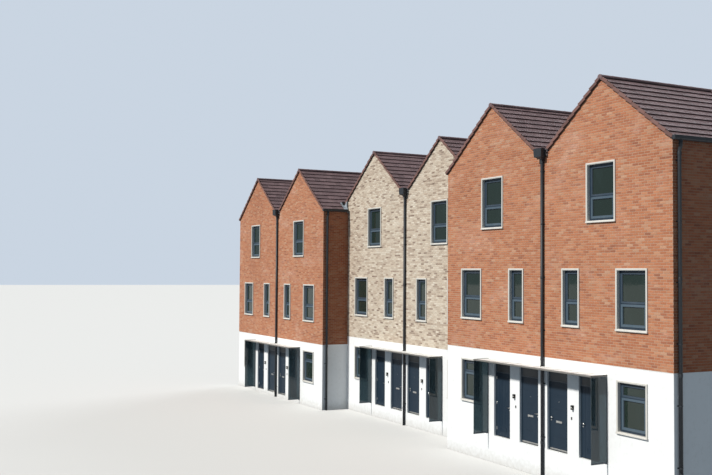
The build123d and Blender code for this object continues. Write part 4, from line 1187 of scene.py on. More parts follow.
# ----------------------------------------------------------------------
# lead: valley linings, guards at the open ends, flashings at the steps
# ----------------------------------------------------------------------
LEADS, GUARDS_AND_SHADE = Build(), Build()
VT = APZ - (APX - VALX) * SL          # brick top at the valley
for k, (name, cx, fy, fz, half) in enumerate(PAIRS):
    y0, y1 = fy - VERGE, fy + RIDGE_Y + APX - VALX
    zb = fz + VT + LIFT + 0.061
    e = VALX - 0.004
    t = 0.003
    lay = [(-e, 0.115), (-e, 0.012), (-e + 0.010, 0.0), (e - 0.010, 0.0), (e, 0.012), (e, 0.115),
           (e - t, 0.115), (e - t, 0.014), (e - 0.012, t), (-e + 0.012, t), (-e + t, 0.014), (-e + t, 0.115)]
    n = 4
    for i in range(n):
        a = y0 + (y1 - 0.03 - y0) * i / n
        b = y0 + (y1 - 0.03 - y0) * (i + 1) / n + 0.02
        lift = 0.0015 * (n - i)
        bar(LEADS, lay, (cx, a, zb + lift), (0, 1, 0), (-1, 0, 0), (0, 0, 1), b - a, tone=(0.5, 0.5, 0.5))
        box(LEADS, (cx - e + 0.004, a + 0.01, zb + lift), (cx + e - 0.004, a + 0.03, zb + lift + 0.008), 0.003)
    # saddle: closes the notch between the two rear hips and sheds into the rear gutter
    def hip_z(y, fy=fy, fz=fz):
        return fz + APZ + ROOFV + LIFT - (y - fy - RIDGE_Y) * SL
    yt = fy + RIDGE_Y + APX
    xa = VALX - 0.002
    zt = hip_z(yt) - 0.012
    tri = [(cx - xa, y1 - 0.045, zb + 0.006), (cx + xa, y1 - 0.045, zb + 0.006), (cx + xa, y1, zb - 0.002),
           (cx + 0.003, yt + 0.010, zt), (cx - 0.003, yt + 0.010, zt), (cx - xa, y1, zb - 0.002)]
    m = len(tri)
    LEADS.add([(x, y, z - 0.020) for x, y, z in tri] + tri,
              [tuple(range(m, 2 * m)), tuple(range(m))[::-1]] + [(i, (i + 1) % m, m + (i + 1) % m, m + i) for i in range(m)],
              (0.6, 0.5, 0.5))
    for s in (-1, 1):
        p0, p1 = (cx + s * xa, y1 - 0.004), (cx + s * 0.004, yt - 0.002)
        q = (-s * 0.0028, -0.0028)
        up = [(p0, zb - 0.024, hip_z(p0[1]) + 0.004), (p1, zt - 0.024, hip_z(p1[1]) + 0.004)]
        v = []
        for o in ((0.0, 0.0), q):
            for (px, py), lo, hi in up:
                v += [(px + o[0], py + o[1], lo), (px + o[0], py + o[1], hi)]
        LEADS.add(v, [(0, 2, 3, 1), (4, 5, 7, 6), (0, 1, 5, 4), (2, 6, 7, 3), (1, 3, 7, 5), (0, 4, 6, 2)], (0.6, 0.5, 0.5))
    # guard: a dark grille over the mouth of the valley, each side of the hopper, on a black plate that fills the mouth
    # as painted shade
    gz0, gz1 = fz + VT - 0.006, fz + VT + LIFT + 0.128
    ge = VALX - 0.006
    gy = fy - VERGE - 0.0006
    box(GUARDS_AND_SHADE, (cx - ge, gy - 0.0012, gz0), (cx + ge, gy, gz1 - 0.004), 0.0004, m=0)
    for xa, xb in ((cx - ge, cx + 0.03 - 0.196), (cx + 0.03 + 0.196, cx + ge)):
        box(GUARDS_AND_SHADE, (xa, gy - 0.016, gz1 - 0.016), (xb, gy, gz1), 0.003)
        box(GUARDS_AND_SHADE, (xa, gy - 0.016, gz0), (xb, gy, gz0 + 0.014), 0.003)
        m = max(2, int((xb - xa) / 0.024))
        for i in range(m):
            x = xa + (xb - xa) * (i + 0.5) / m
            box(GUARDS_AND_SHADE, (x - 0.0045, gy - 0.012, gz0 + 0.008), (x + 0.0045, gy, gz1 - 0.008), 0.0015)
# between pairs: lining in the narrow valley, and below, its cheek and apron
for k in (0, 1):
    name, cx, fy, fz, half = PAIRS[k]
    xv = cx + PAIRV
    zv = fz + LIFT + APZ - (PAIRV - 0.08 - APX) * SL
    y0 = YB - VERGE
    y1 = RYA - 0.4 if k == 0 else RYA + EAVES_OVER
    e = 0.076
    t = 0.003
    lay = [(-e, 0.11), (-e, 0.010), (-e + 0.008, 0.0), (e - 0.008, 0.0), (e, 0.010), (e, 0.11),
           (e - t, 0.11), (e - t, 0.012), (e - 0.010, t), (-e + 0.010, t), (-e + t, 0.012), (-e + t, 0.11)]
    bar(LEADS, lay, (xv, y0, zv + 0.061), (0, 1, 0), (-1, 0, 0), (0, 0, 1), y1 - y0, tone=(0.6, 0.5, 0.5))

# where the lower roof dies against the middle pair
name, cx, fy, fz, half = PAIRS[0]
rx = cx + APX


def lower_plane(x):
    return Z0 + APZ + ROOFV + LIFT - (x - rx) * SL


def middle_under(x):
    return Z1 + APZ + RAISE - (abs(x) - APX) * SL


yc = YB - VERGE - 0.004
pts = [(-5.66, lower_plane(-5.66) - 0.05), (-5.19, lower_plane(-5.19) - 0.16), (-5.19, lower_plane(-5.19) + 0.045),
       (-5.252, lower_plane(-5.252) + 0.10), (-5.252, middle_under(-5.252) - 0.004),
       (-5.47, middle_under(-5.47) + 0.004), (-5.50, lower_plane(-5.50) + 0.05), (-5.66, lower_plane(-5.66) + 0.03)]
P = wall_basis("front", yc + 0.030)
n = len(pts)
vv = [P.at(x, z, 0.0) for x, z in pts] + [P.at(x, z, 0.026) for x, z in pts]
LEADS.add(vv, [tuple(range(n, 2 * n)), tuple(range(n))[::-1]] +
          [(i, (i + 1) % n, n + (i + 1) % n, n + i) for i in range(n)], (0.7, 0.6, 0.5))
# apron dressed down over the tiles, in steps that follow the courses
Pr = roof_basis("side", 1, rx + (half + EAVES_OVER - APX), 0.0, Z0 + APZ + ROOFV + LIFT - (half + EAVES_OVER - APX) * SL)
Wr = (half + EAVES_OVER - APX) / CT
for i in range(3):
    w0, w1 = i * 0.20 + 0.004, (i + 1) * 0.20 + 0.012
    h0 = 0.004
    v = [Pr.at(yc - 0.150, w0, h0), Pr.at(yc + 0.02, w0, h0 + 0.004), Pr.at(yc + 0.02, w1, h0 - 0.001), Pr.at(yc - 0.150, w1, h0 - 0.006),
         Pr.at(yc - 0.150, w0, h0 + 0.004), Pr.at(yc + 0.02, w0, h0 + 0.008), Pr.at(yc + 0.02, w1, h0 + 0.003), Pr.at(yc - 0.150, w1, h0 - 0.002)]
    LEADS.add(v, [(3, 2, 1, 0), (4, 5, 6, 7), (0, 1, 5, 4), (1, 2, 6, 5), (2, 3, 7, 6), (3, 0, 4, 7)], (0.7, 0.6, 0.5))
# the small box that closes the mouth of the narrow valley
for k, off in ((0, 0.0), ):
    xv = PAIRS[k][1] + PAIRV
    zv = PAIRS[k][3] + LIFT + APZ - (PAIRV - 0.08 - APX) * SL
    box(GUARDS_AND_SHADE, (xv - 0.088, YB - VERGE - 0.075, zv + 0.10), (xv + 0.088, YB - VERGE - 0.004, zv + 0.265), 0.006)
    box(GUARDS_AND_SHADE, (xv - 0.060, YB - VERGE - 0.080, zv + 0.135), (xv + 0.060, YB - VERGE - 0.073, zv + 0.235), 0.003)
LEADS.make("lead_linings_and_flashings", "lead", [LEAD])
GUARDS_AND_SHADE.make("valley_guards_and_painted_shade", "black_metal", [BLACK])

# ----------------------------------------------------------------------
# gutters, hoppers and downpipes
# ----------------------------------------------------------------------
GUT = Build()
GUT_LIFT = 0.066
gw, gh = GUT_W - 0.0055, GUT_H + 0.015


def gutter_profile(off=0.0, t=0.0032):
    """Deep gutter, open on top: (out from the roof edge, up from its underside)."""
    o = [(-off, gh), (-off, 0.040 - off * 0.4), (0.012 - off, 0.014 - off * 0.6), (0.034, -off), (gw - 0.034, -off),
         (gw - 0.012 + off, 0.014 - off * 0.6), (gw + off, 0.040 - off * 0.4), (gw + off, gh)]
    return o


def gutter(B, origin, d, e1, length):
    """e1 points out from the roof, d runs along; e1 x up = d or -d."""
    up = Vector((0, 0, 1))
    origin, d, e1 = Vector(origin), Vector(d), Vector(e1)
    flip = 1 if e1.cross(up).dot(d) > 0 else -1
    t = 0.0032
    o = gutter_profile()
    i = [(x + (t if x < gw / 2 else -t), z + (t if z < gh - 1e-6 else 0.0)) for x, z in o]
    body = [(p[0], p[1]) for p in o] + [(gw - 0.0075, gh), (gw - 0.0075, gh - 0.006), (gw - t, gh - 0.006)] + \
           [(p[0], p[1]) for p in i[::-1]][1:]
    mk = lambda off: (lambda p, q=origin + d * off: tuple(q + e1 * p[0] + up * p[1]))
    sts = [mk(0.0), mk(length)]
    if flip < 0:
        sts = sts[::-1]
    sweep(B, body, sts, tone=(0.5, 0.5, 0.5))
    # stop ends
    for off in (0.0, length - 0.004):
        a, b = (mk(off), mk(off + 0.004))
        if flip < 0:
            a, b = b, a
        sweep(B, [(p[0], p[1]) for p in gutter_profile(0.0022)], [a, b])
    # unions and brackets
    n = max(1, int(length / 3.0))
    for q in range(1, n + 1):
        if n * 3.0 > length - 0.2 and q == n:
            continue
        off = q * length / (n + 1)
        a, b = mk(off), mk(off + 0.075)
        if flip < 0:
            a, b = b, a
        sweep(B, gutter_profile(0.0028), [a, b])
    n = max(2, int(round(length / 0.9)))
    for q in range(n):
        off = 0.18 + (length - 0.385) * q / (n - 1)
        a, b = mk(off), mk(off + 0.025)
        if flip < 0:
            a, b = b, a
        sweep(B, gutter_profile(0.005), [a, b])


for xe, s, y0, y1, fz in (
        (-ENDX - EAVES_OVER, -1, YA + 0.115, RYA + EAVES_OVER, Z0),
        (-PITCH + HALF + EAVES_OVER, 1, YA - VERGE, YB - VERGE - 0.005, Z0),
        (ENDX + EAVES_OVER, 1, YA - VERGE, RYA + EAVES_OVER, Z2),
        (PAIRV + 0.08, -1, YA + 0.115, YB - VERGE - 0.005, Z2)):
    gutter(GUT, (xe + s * 0.002, y0, fz + GUT_Z0 + GUT_LIFT), (0, 1, 0), (s, 0, 0), y1 - y0)
for x0, x1, ry, fz in ((-ENDX - EAVES_OVER, -5.553, RYA, Z0),
                       (-5.61, 5.61, RYB, Z1),
                       (5.19, ENDX + EAVES_OVER, RYA, Z2)):
    gutter(GUT, (x0, ry + EAVES_OVER + 0.002, fz + GUT_Z0 + GUT_LIFT), (1, 0, 0), (0, 1, 0), x1 - x0)
GUT.make("eaves_gutter_runs", "dark_metal", [DARK], replaces=("eaves_gutters",))

HOP = Build()
HZ1, HZ0, HOUT = RTOP + 6.56, RTOP + 6.285, RTOP + 6.165
for name, cx, fy, fz, half in PAIRS:
    hx, hw, hd = cx + 0.03, 0.38, 0.16
    ya, yb = fy - VERGE - 0.002 - hd, fy - VERGE - 0.002      # front, back
    P = Basis((hx, fy, fz), (1, 0, 0), (0, 0, 1), (0, -1, 0))
    d0, d1 = VERGE + 0.002, VERGE + 0.002 + hd

    def shell(z0, z1, i0, i1, t=0.004):
        """Four sloping walls of a box open on top, from inset i0 at z0 to i1 at z1."""
        o0 = [(-hw / 2 + i0, d0), (hw / 2 - i0, d0), (hw / 2 - i0, d1 - i0), (-hw / 2 + i0, d1 - i0)]
        o1 = [(-hw / 2 + i1, d0), (hw / 2 - i1, d0), (hw / 2 - i1, d1 - i1), (-hw / 2 + i1, d1 - i1)]
        q0 = [(x * (1 - 2 * t / hw), t + d0 + (d - d0) * (1 - 2 * t / hd)) for x, d in o0]
        q1 = [(x * (1 - 2 * t / hw), t + d0 + (d - d0) * (1 - 2 * t / hd)) for x, d in o1]
        v = [P.at(x, z0, d) for x, d in o0] + [P.at(x, z1, d) for x, d in o1] + \
            [P.at(x, z0, d) for x, d in q0] + [P.at(x, z1, d) for x, d in q1]
        f = []
        for i in range(4):
            j = (i + 1) % 4
            f.append((i, i + 4, j + 4, j))
            f.append((8 + i, 8 + j, 12 + j, 12 + i))
            f.append((4 + i, 12 + i, 12 + j, 4 + j))
            f.append((i, j, 8 + j, 8 + i))
        HOP.add(v, f)

    shell(HZ0, HZ1 - 0.002, 0.010, 0.0)
    # rolled rim, a mid bead and the closed bottom
    for (z, r, i) in ((HZ1 - 0.012, 0.010, 0.0), (HZ0 + 0.010, 0.007, 0.006)):
        box(HOP, (-hw / 2 - 0.004 + i, z - r, d0), (hw / 2 + 0.004 - i, z + r, d0 + 0.012), 0.004, P=P)
        box(HOP, (-hw / 2 - 0.004 + i, z - r, d1 - 0.006 - i), (hw / 2 + 0.004 - i, z + r, d1 + 0.004 - i), 0.004, P=P)
        box(HOP, (-hw / 2 - 0.004 + i, z - r, d0), (-hw / 2 + 0.008 + i, z + r, d1 + 0.002 - i), 0.004, P=P)
        box(HOP, (hw / 2 - 0.008 - i, z - r, d0), (hw / 2 + 0.004 - i, z + r, d1 + 0.002 - i), 0.004, P=P)
    box(HOP, (-hw / 2 + 0.010, HZ0, d0), (hw / 2 - 0.010, HZ0 + 0.006, d1 - 0.010), 0.002, P=P)
    # back plate up to the valley, with its fixings
    box(HOP, (-hw / 2, HZ0 + 0.01, 0.004), (hw / 2, VT - 0.030, 0.010), 0.002, P=P)
    box(HOP, (-hw / 2 + 0.03, HZ0 + 0.02, 0.010), (-hw / 2 + 0.05, HZ1 - 0.04, d0 + 0.001), 0.002, P=P)
    box(HOP, (hw / 2 - 0.05, HZ0 + 0.02, 0.010), (hw / 2 - 0.03, HZ1 - 0.04, d0 + 0.001), 0.002, P=P)
    # tapered outlet to the pipe
    dx = PIPE_DX - 0.03
    a = [(-hw / 2 + 0.03, 0.010), (hw / 2 - 0.03, 0.010), (hw / 2 - 0.03, 0.226), (-hw / 2 + 0.03, 0.226)]
    b = [(dx - 0.055, PIPE_OFF - 0.055), (dx + 0.055, PIPE_OFF - 0.055), (dx + 0.055, PIPE_OFF + 0.055), (dx - 0.055, PIPE_OFF + 0.055)]
    v = [P.at(x, HZ0 + 0.002, d) for x, d in a] + [P.at(x, HOUT + 0.05, d) for x, d in b] + [P.at(x, HOUT, d) for x, d in b]
    f = [(0, 1, 2, 3)[::-1]]
    for s0 in (0, 4):
        for i in range(4):
            j = (i + 1) % 4
            f.append((s0 + i, s0 + j, s0 + 4 + j, s0 + 4 + i)[::-1] if False else (s0 + j, s0 + i, s0 + 4 + i, s0 + 4 + j)[::-1])
    f.append((8, 9, 10, 11))
    HOP.add(v, f)
HOP.make("rain_hopper_heads", "dark_metal", [DARK], replaces=("rain_hoppers",))

PIPES = Build()


def pipe_fittings(x, y, z0, z1, to_wall, joints, clips):
    """to_wall: unit direction from the pipe to its wall."""
    tw = Vector(to_wall)
    for z in joints:
        collar(PIPES, (x, y, z), (0, 0, 1), 0, [(0, PIPE_R), (0.0, PIPE_R + 0.0065), (0.012, PIPE_R + 0.0075),
                                                (0.080, PIPE_R + 0.0065), (0.086, PIPE_R + 0.004), (0.0865, PIPE_R)], n=24)
    side = Vector((0, 0, 1)).cross(tw)
    for z in clips:
        collar(PIPES, (x, y, z), (0, 0, 1), 0, [(0, PIPE_R), (0.0, PIPE_R + 0.0045), (0.035, PIPE_R + 0.0045), (0.0355, PIPE_R)], n=24)
        c = Vector((x, y, z + 0.0175))
        Pb = Basis(c, side, (0, 0, 1), -tw)
        # lugs each side and the plate on the wall
        box(PIPES, (-0.078, -0.017, -PIPE_OFF + 0.001), (0.078, 0.017, -PIPE_OFF + 0.008), 0.002, P=Pb)
        box(PIPES, (-0.012, -0.014, -PIPE_OFF + 0.006), (0.012, 0.014, -PIPE_R + 0.002), 0.002, P=Pb)
        for q in (-0.062, 0.062):
            box(PIPES, (q - 0.006, -0.006, -PIPE_OFF + 0.006), (q + 0.006, 0.006, -PIPE_OFF + 0.012), 0.002, P=Pb)


def clips_for(z0, z1, gap=1.75):
    n = max(2, int(round((z1 - z0) / gap)))
    return [z0 + (z1 - z0) * i / n for i in range(n + 1)]


for k, (name, cx, fy, fz, half) in enumerate(PAIRS):
    x, y = cx + PIPE_DX, fy - PIPE_OFF
    z1 = fz + HOUT
    tube(PIPES, [(x, y, 0.0), (x, y, z1 + 0.004)], PIPE_R, n=24)
    pipe_fittings(x, y, 0, z1, (0, 1, 0), [fz + 5.3, fz + 2.75, fz + 0.15, z1 - 0.09],
                  [c for c in clips_for(fz + 0.35, z1 - 0.35) if abs(c - fz - 2.56) > 0.12])
    # rear
    y = fy + DEPTH + PIPE_OFF
    z1 = fz + EDGE_UNDER - 0.005
    yg = fy + DEPTH + EAVES_OVER + 0.002 + GUT_W / 2
    tube(PIPES, [(x, y, 0.0), (x, y, z1 - 0.13), (x, yg, z1 - 0.035), (x, yg, fz + GUT_Z0 + GUT_LIFT + 0.004)], PIPE_R, n=24, bend=0.05)
    pipe_fittings(x, y, 0, z1, (0, -1, 0), [fz + 5.3, fz + 2.75, fz + 0.15, z1 - 0.27], clips_for(fz + 0.35, z1 - 0.42))
    collar(PIPES, (x, yg, fz + GUT_Z0 + GUT_LIFT - 0.03), (0, 0, 1), 0, [(0, PIPE_R), (0.0, PIPE_R + 0.006), (0.03, PIPE_R + 0.006), (0.031, PIPE_R)], n=24)
for xw, s, yy, fz, over in ((-PITCH + HALF, 1, YA + 0.18, Z0, EAVES_OVER), (ENDX, 1, YA + 0.18, Z2, EAVES_OVER),
                            (-ENDX, -1, YA + 0.18, Z0, EAVES_OVER), (5.25, -1, YA + 0.18, Z2, 0.09)):
    x = xw + s * PIPE_OFF
    xg = xw + s * (over + 0.002 + GUT_W / 2)
    head = fz + EDGE_UNDER - (over - EAVES_OVER) * SL - 0.005
    tube(PIPES, [(x, yy, 0.0), (x, yy, head - 0.13), (xg, yy, head - 0.035), (xg, yy, fz + GUT_Z0 + GUT_LIFT + 0.004)], PIPE_R, n=24, bend=0.05)
    pipe_fittings(x, yy, 0, head, (-s, 0, 0), [fz + 5.3, fz + 2.75, fz + 0.15, head - 0.27], clips_for(fz + 0.35, head - 0.42))
    collar(PIPES, (xg, yy, fz + GUT_Z0 + GUT_LIFT - 0.03), (0, 0, 1), 0, [(0, PIPE_R), (0.0, PIPE_R + 0.006), (0.03, PIPE_R + 0.006), (0.031, PIPE_R)], n=24)
PIPES.make("round_downpipes", "dark_metal", [DARK], replaces=("downpipes",))


# ----------------------------------------------------------------------
# windows: a pale folded surround that stands out of the wall, a dark frame
# set back in it, a sash in each light, gaskets and two separate panes
# ----------------------------------------------------------------------
SUR_FACE, SUR_OUT, SUR_IN = 0.057, 0.045, 0.122
FR_FACE, FR_Y0, FR_Y1, TRANSOM = 0.075, 0.062, 0.115, 0.060
SUR, FRM, GLZ = Build(), Build(), Build()
for k, (name, cx, fy, fz, half) in enumerate(PAIRS):
    for facing, plane in (("front", fy), ("rear", fy + DEPTH)):
        s = 1 if facing == "front" else -1
        P = wall_basis(facing, plane)
        for x, z, w, h, kind in windows_of(k, facing):
            a, b = sorted((s * (x - w / 2), s * (x + w / 2)))
            c, d = z, z + h
            f, o, i = SUR_FACE, SUR_OUT, SUR_IN
            ring(SUR, P, a, b, c, d, [(0.0, -i + 0.002), (0.0, o - 0.003), (0.003, o), (f - 0.016, o), (f - 0.013, o - 0.003),
                                      (f - 0.013, o - 0.009), (f, o - 0.009), (f, -FR_Y0 - 0.002), (f - 0.004, -i + 0.002)])
            # sill: thicker, with a nose and upturned ends
            box(SUR, (a - 0.012, c - 0.004, -0.004), (b + 0.012, c + 0.030, o + 0.014), 0.003, P=P)
            box(SUR, (a - 0.012, c + 0.028, o - 0.016), (a + 0.004, c + 0.052, o + 0.012), 0.002, P=P)
            box(SUR, (b - 0.004, c + 0.028, o - 0.016), (b + 0.012, c + 0.052, o + 0.012), 0.002, P=P)
            # dark frame
            ia, ib, ic, id_ = a + f, b - f, c + f, d - f
            ih = id_ - ic
            up = 0.70 if h < 1.6 else 0.43
            tz = ic + up * ih
            t = TRANSOM / 2
            y0, y1 = -FR_Y0, -FR_Y1
            g = FR_FACE
            ring(FRM, P, ia, ib, ic, id_, [(0.0, y1), (0.0, y0 - 0.002), (0.002, y0), (g - 0.014, y0), (g - 0.012, y0 - 0.002),
                                           (g - 0.012, y0 - 0.012), (g - 0.004, y0 - 0.016), (g, y0 - 0.020), (g, y1)])
            box(FRM, (ia + g - 0.004, tz - t, y1), (ib - g + 0.004, tz + t, y0 - 0.002), 0.003, P=P)
            # a sash in each light, a little proud of the frame, with a dark gap between the two; both sashes are
            # painted lighter than the frame, the lower most, as a painted highlight at the glass's edge
            lights = []
            for sc, sd, sw, out in ((ic + g - 0.012, tz - 0.012, 0.076, 0.012), (tz + 0.012, id_ - g + 0.012, 0.056, 0.005)):
                sa, sb = ia + g - 0.012, ib - g + 0.012
                ring(FRM, P, sa, sb, sc, sd,
                     [(0.0, y0 - 0.001), (0.0, y0 + out - 0.003), (0.003, y0 + out), (sw - 0.012, y0 + out), (sw - 0.008, y0 + out - 0.004),
                      (sw, y0 - 0.014), (sw, y1), (0.020, y1)], m=4 if out > 0.01 else 5)
                lights.append((sa + sw, sb - sw, sc + sw, sd - sw))
            # black gaskets
            for (wa, wb, wc, wd) in lights:
                ring(FRM, P, wa, wb, wc, wd, [(-0.003, y0 - 0.022), (-0.003, y0 - 0.017), (0.004, y0 - 0.017), (0.006, y0 - 0.022)], m=1)
                # the pane, and a pale spacer bar round its edge behind the face
                box(GLZ, (wa - 0.006, wc - 0.006, y0 - 0.030), (wb + 0.006, wd + 0.006, y0 - 0.024), 0.001, P=P)
                ring(FRM, P, wa + 0.001, wb - 0.001, wc + 0.001, wd - 0.001,
                     [(-0.004, y0 - 0.046), (-0.004, y0 - 0.032), (0.008, y0 - 0.032), (0.008, y0 - 0.046)], m=2)
            # inner lining of the opening, seen through the glass
            ring(FRM, P, ia + 0.004, ib - 0.004, ic + 0.004, id_ - 0.004,
                 [(0.0, -0.292), (0.0, y1 + 0.001), (0.012, y1 + 0.001), (0.012, -0.292)], m=3)
SUR.make("window_surround_trims", "pale_metal", [PALE], replaces=("window_surrounds",))
FRM.make("window_sashes_and_frames", "dark_frame", [WINF, RUBBER, STEEL, RENDER, SASH_PAINTED_HIGHLIGHT, FRAME], replaces=("window_frames",))
GLZ.make("window_panes", "glass", [GLASS], replaces=("window_glazing",))

# ----------------------------------------------------------------------
# canopies: folded edge trim, roof sheets with raised seams, soffit boards
# ----------------------------------------------------------------------
CAN, CANS = Build(), Build()
for name, cx, fy, fz, half in PAIRS:
    L, D, ZA, ZB = 2.9, 0.62, fz + 2.52, fz + 2.61
    px, py = cx + PIPE_DX, PIPE_OFF
    hole = 0.057
    # a slim edge in front, and sheets that rise to the wall
    ZF, ZW = ZA + 0.050, ZA + 0.055
    slope_c = math.atan2(ZW - ZF, D)
    cc, sc = math.cos(slope_c), math.sin(slope_c)
    Q = Basis((cx, fy - D, ZF), (1, 0, 0), (0, cc, sc), (0, -sc, cc))
    LW = D / cc
    for q in range(4):
        a, b = -L + q * L / 2 + (0.0015 if q else 0), -L + (q + 1) * L / 2 - (0.0015 if q < 3 else 0)
        box(CAN, (cx + a, fy - D, ZA), (cx + b, fy - D + 0.012, ZF), 0.002)
        box(CAN, (a, 0.002, -0.008), (b, 0.060, 0.0), 0.002, P=Q)
        box(CAN, (cx + a, fy - D, ZA), (cx + b, fy - D + 0.045, ZA + 0.008), 0.002)
        # butt strap behind each joint
        if q:
            box(CAN, (cx + a - 0.030, fy - D + 0.010, ZA + 0.004), (cx + a + 0.030, fy - D + 0.015, ZF - 0.004), 0.001)
    for s in (-1, 1):
        xs = sorted((cx + s * L, cx + s * (L - 0.012)))
        v = [(x, y, z) for x in xs for y, z in ((fy - D + 0.012, ZA), (fy - 0.001, ZA), (fy - 0.001, ZW - 0.001), (fy - D + 0.012, ZF))]
        CAN.add(v, [(0, 3, 2, 1), (4, 5, 6, 7), (0, 1, 5, 4), (1, 2, 6, 5), (2, 3, 7, 6), (3, 0, 4, 7)])
        us = sorted((s * L, s * (L - 0.050)))
        box(CAN, (us[0], 0.002, -0.008), (us[1], LW - 0.002, 0.0), 0.002, P=Q)

    # roof sheets between trims, with seams, cut round the pipe
    def plate_with_hole(B, x0, x1, y0, y1, z0, z1, c=0.002, m=0, P=None, at=None):
        parts = [(x0, x1, y0, y1)]
        ux, uy = at if at else (px, fy - py)
        if x0 < ux < x1:
            parts = minus(parts, (ux - hole, ux + hole, uy - hole, uy + hole), 0.004)
        for a, b, c0, d0 in parts:
            box(B, (a, c0, z0), (b, d0, z1), c, m=m, P=P)
    for q in range(4):
        a, b = -L + 0.03 + q * (2 * L - 0.06) / 4, -L + 0.03 + (q + 1) * (2 * L - 0.06) / 4
        plate_with_hole(CAN, a, b, 0.03, LW - 0.002, -0.018, -0.013, c=0.001, m=1, P=Q, at=(PIPE_DX, LW - py / cc))
    for q in range(1, 12):
        x = -L + q * 2 * L / 12
        if abs(x - PIPE_DX) < 0.09:
            x += 0.16
        box(CAN, (x - 0.006, 0.062, -0.012), (x + 0.006, LW - 0.010, -0.001), 0.003, m=1, P=Q)
    # soffit boards with open joints
    n = 6
    for q in range(n):
        a, b = cx - L + 0.014 + q * (2 * L - 0.028) / n + 0.002, cx - L + 0.014 + (q + 1) * (2 * L - 0.028) / n - 0.002
        plate_with_hole(CANS, a, b, fy - D + 0.016, fy - 0.003, ZA + 0.010, ZA + 0.018, 0.0015)
    box(CANS, (cx - L + 0.014, fy - D + 0.02, ZA + 0.019), (px - hole - 0.002, fy - 0.003, ZA + 0.022), 0.001, m=1)
    box(CANS, (px + hole + 0.002, fy - D + 0.02, ZA + 0.019), (cx + L - 0.014, fy - 0.003, ZA + 0.022), 0.001, m=1)
    # collar where the pipe goes through
    for z0, z1 in ((ZW - 0.026, ZW + 0.006), (ZA - 0.002, ZA + 0.012)):
        collar(CANS, (px, fy - py, z0), (0, 0, 1), 0, [(0, PIPE_R + 0.001), (0.0, 0.064), (z1 - z0 - 0.004, 0.066),
                                                       (z1 - z0, 0.058), (z1 - z0, PIPE_R + 0.001)], n=24, m=1)
    # flashing against the wall
    P = wall_basis("front", fy)
    for a, b in ((cx - L, px - 0.06), (px + 0.06, cx + L)):
        box(CAN, (a, ZW - 0.012, 0.0), (b, ZW + 0.024, 0.0035), 0.001, m=1, P=P)
        box(CAN, (a, ZW + 0.020, 0.001), (b, ZW + 0.025, 0.008), 0.002, m=1, P=P)
CAN.make("canopy_trims_and_sheets", "canopy_panel", [CANOPY, CANTOP], replaces=("canopies",))
CANS.make("canopy_soffits", "canopy_panel", [CANOPY, RUBBER])

# screens: the CAD panes stay; channels, shoes and clamps hold them
SCR = Build()
for name, cx, fy, fz, half in PAIRS:
    for s in (-1, 1):
        x0, x1 = (cx - 2.9, cx - 2.88) if s < 0 else (cx + 2.88, cx + 2.9)
        e = 0.005
        # channel on the wall: two cheeks and a web behind the pane's edge
        for xa, xb in ((x0 - e, x0 - 0.0006), (x1 + 0.0006, x1 + e)):
            box(SCR, (xa, fy - 0.026, fz + 0.055), (xb, fy - 0.001, fz + 2.43), 0.001)
        # bottom rail with a shoe
        for xa, xb in ((x0 - e, x0 - 0.0006), (x1 + 0.0006, x1 + e)):
            box(SCR, (xa, fy - 0.602, fz + 0.052), (xb, fy - 0.001, fz + 0.092), 0.001)
        box(SCR, (x0 - e, fy - 0.602, fz + 0.050), (x1 + e, fy - 0.001, fz + 0.059), 0.001)
        # clips up to the canopy's trim
        for yy in (fy - 0.50, fy - 0.20):
            for xa, xb in ((x0 - e, x0 - 0.0006), (x1 + 0.0006, x1 + e)):
                box(SCR, (xa, yy - 0.025, fz + 2.470), (xb, yy + 0.025, fz + 2.521), 0.0015)
        # shoes on the ground below, fixed back to the wall
        box(SCR, (x0 - 0.003, fy - 0.075, fz + 0.030), (x1 + 0.003, fy - 0.001, fz + 0.052), 0.002)
SCR.make("screen_channels", "dark_frame", [FRAME])

# ----------------------------------------------------------------------
# lamps and bell plates
# ----------------------------------------------------------------------
LMP = Build()


def rounded_rect(w, h, r, n=4):
    out = []
    for cxs, czs, a0 in ((w / 2 - r, h / 2 - r, 0), (-w / 2 + r, h / 2 - r, 90), (-w / 2 + r, -h / 2 + r, 180), (w / 2 - r, -h / 2 + r, 270)):
        for i in range(n + 1):
            t = math.radians(a0 + 90 * i / n)
            out.append((cxs + r * math.cos(t), czs + r * math.sin(t)))
    return out


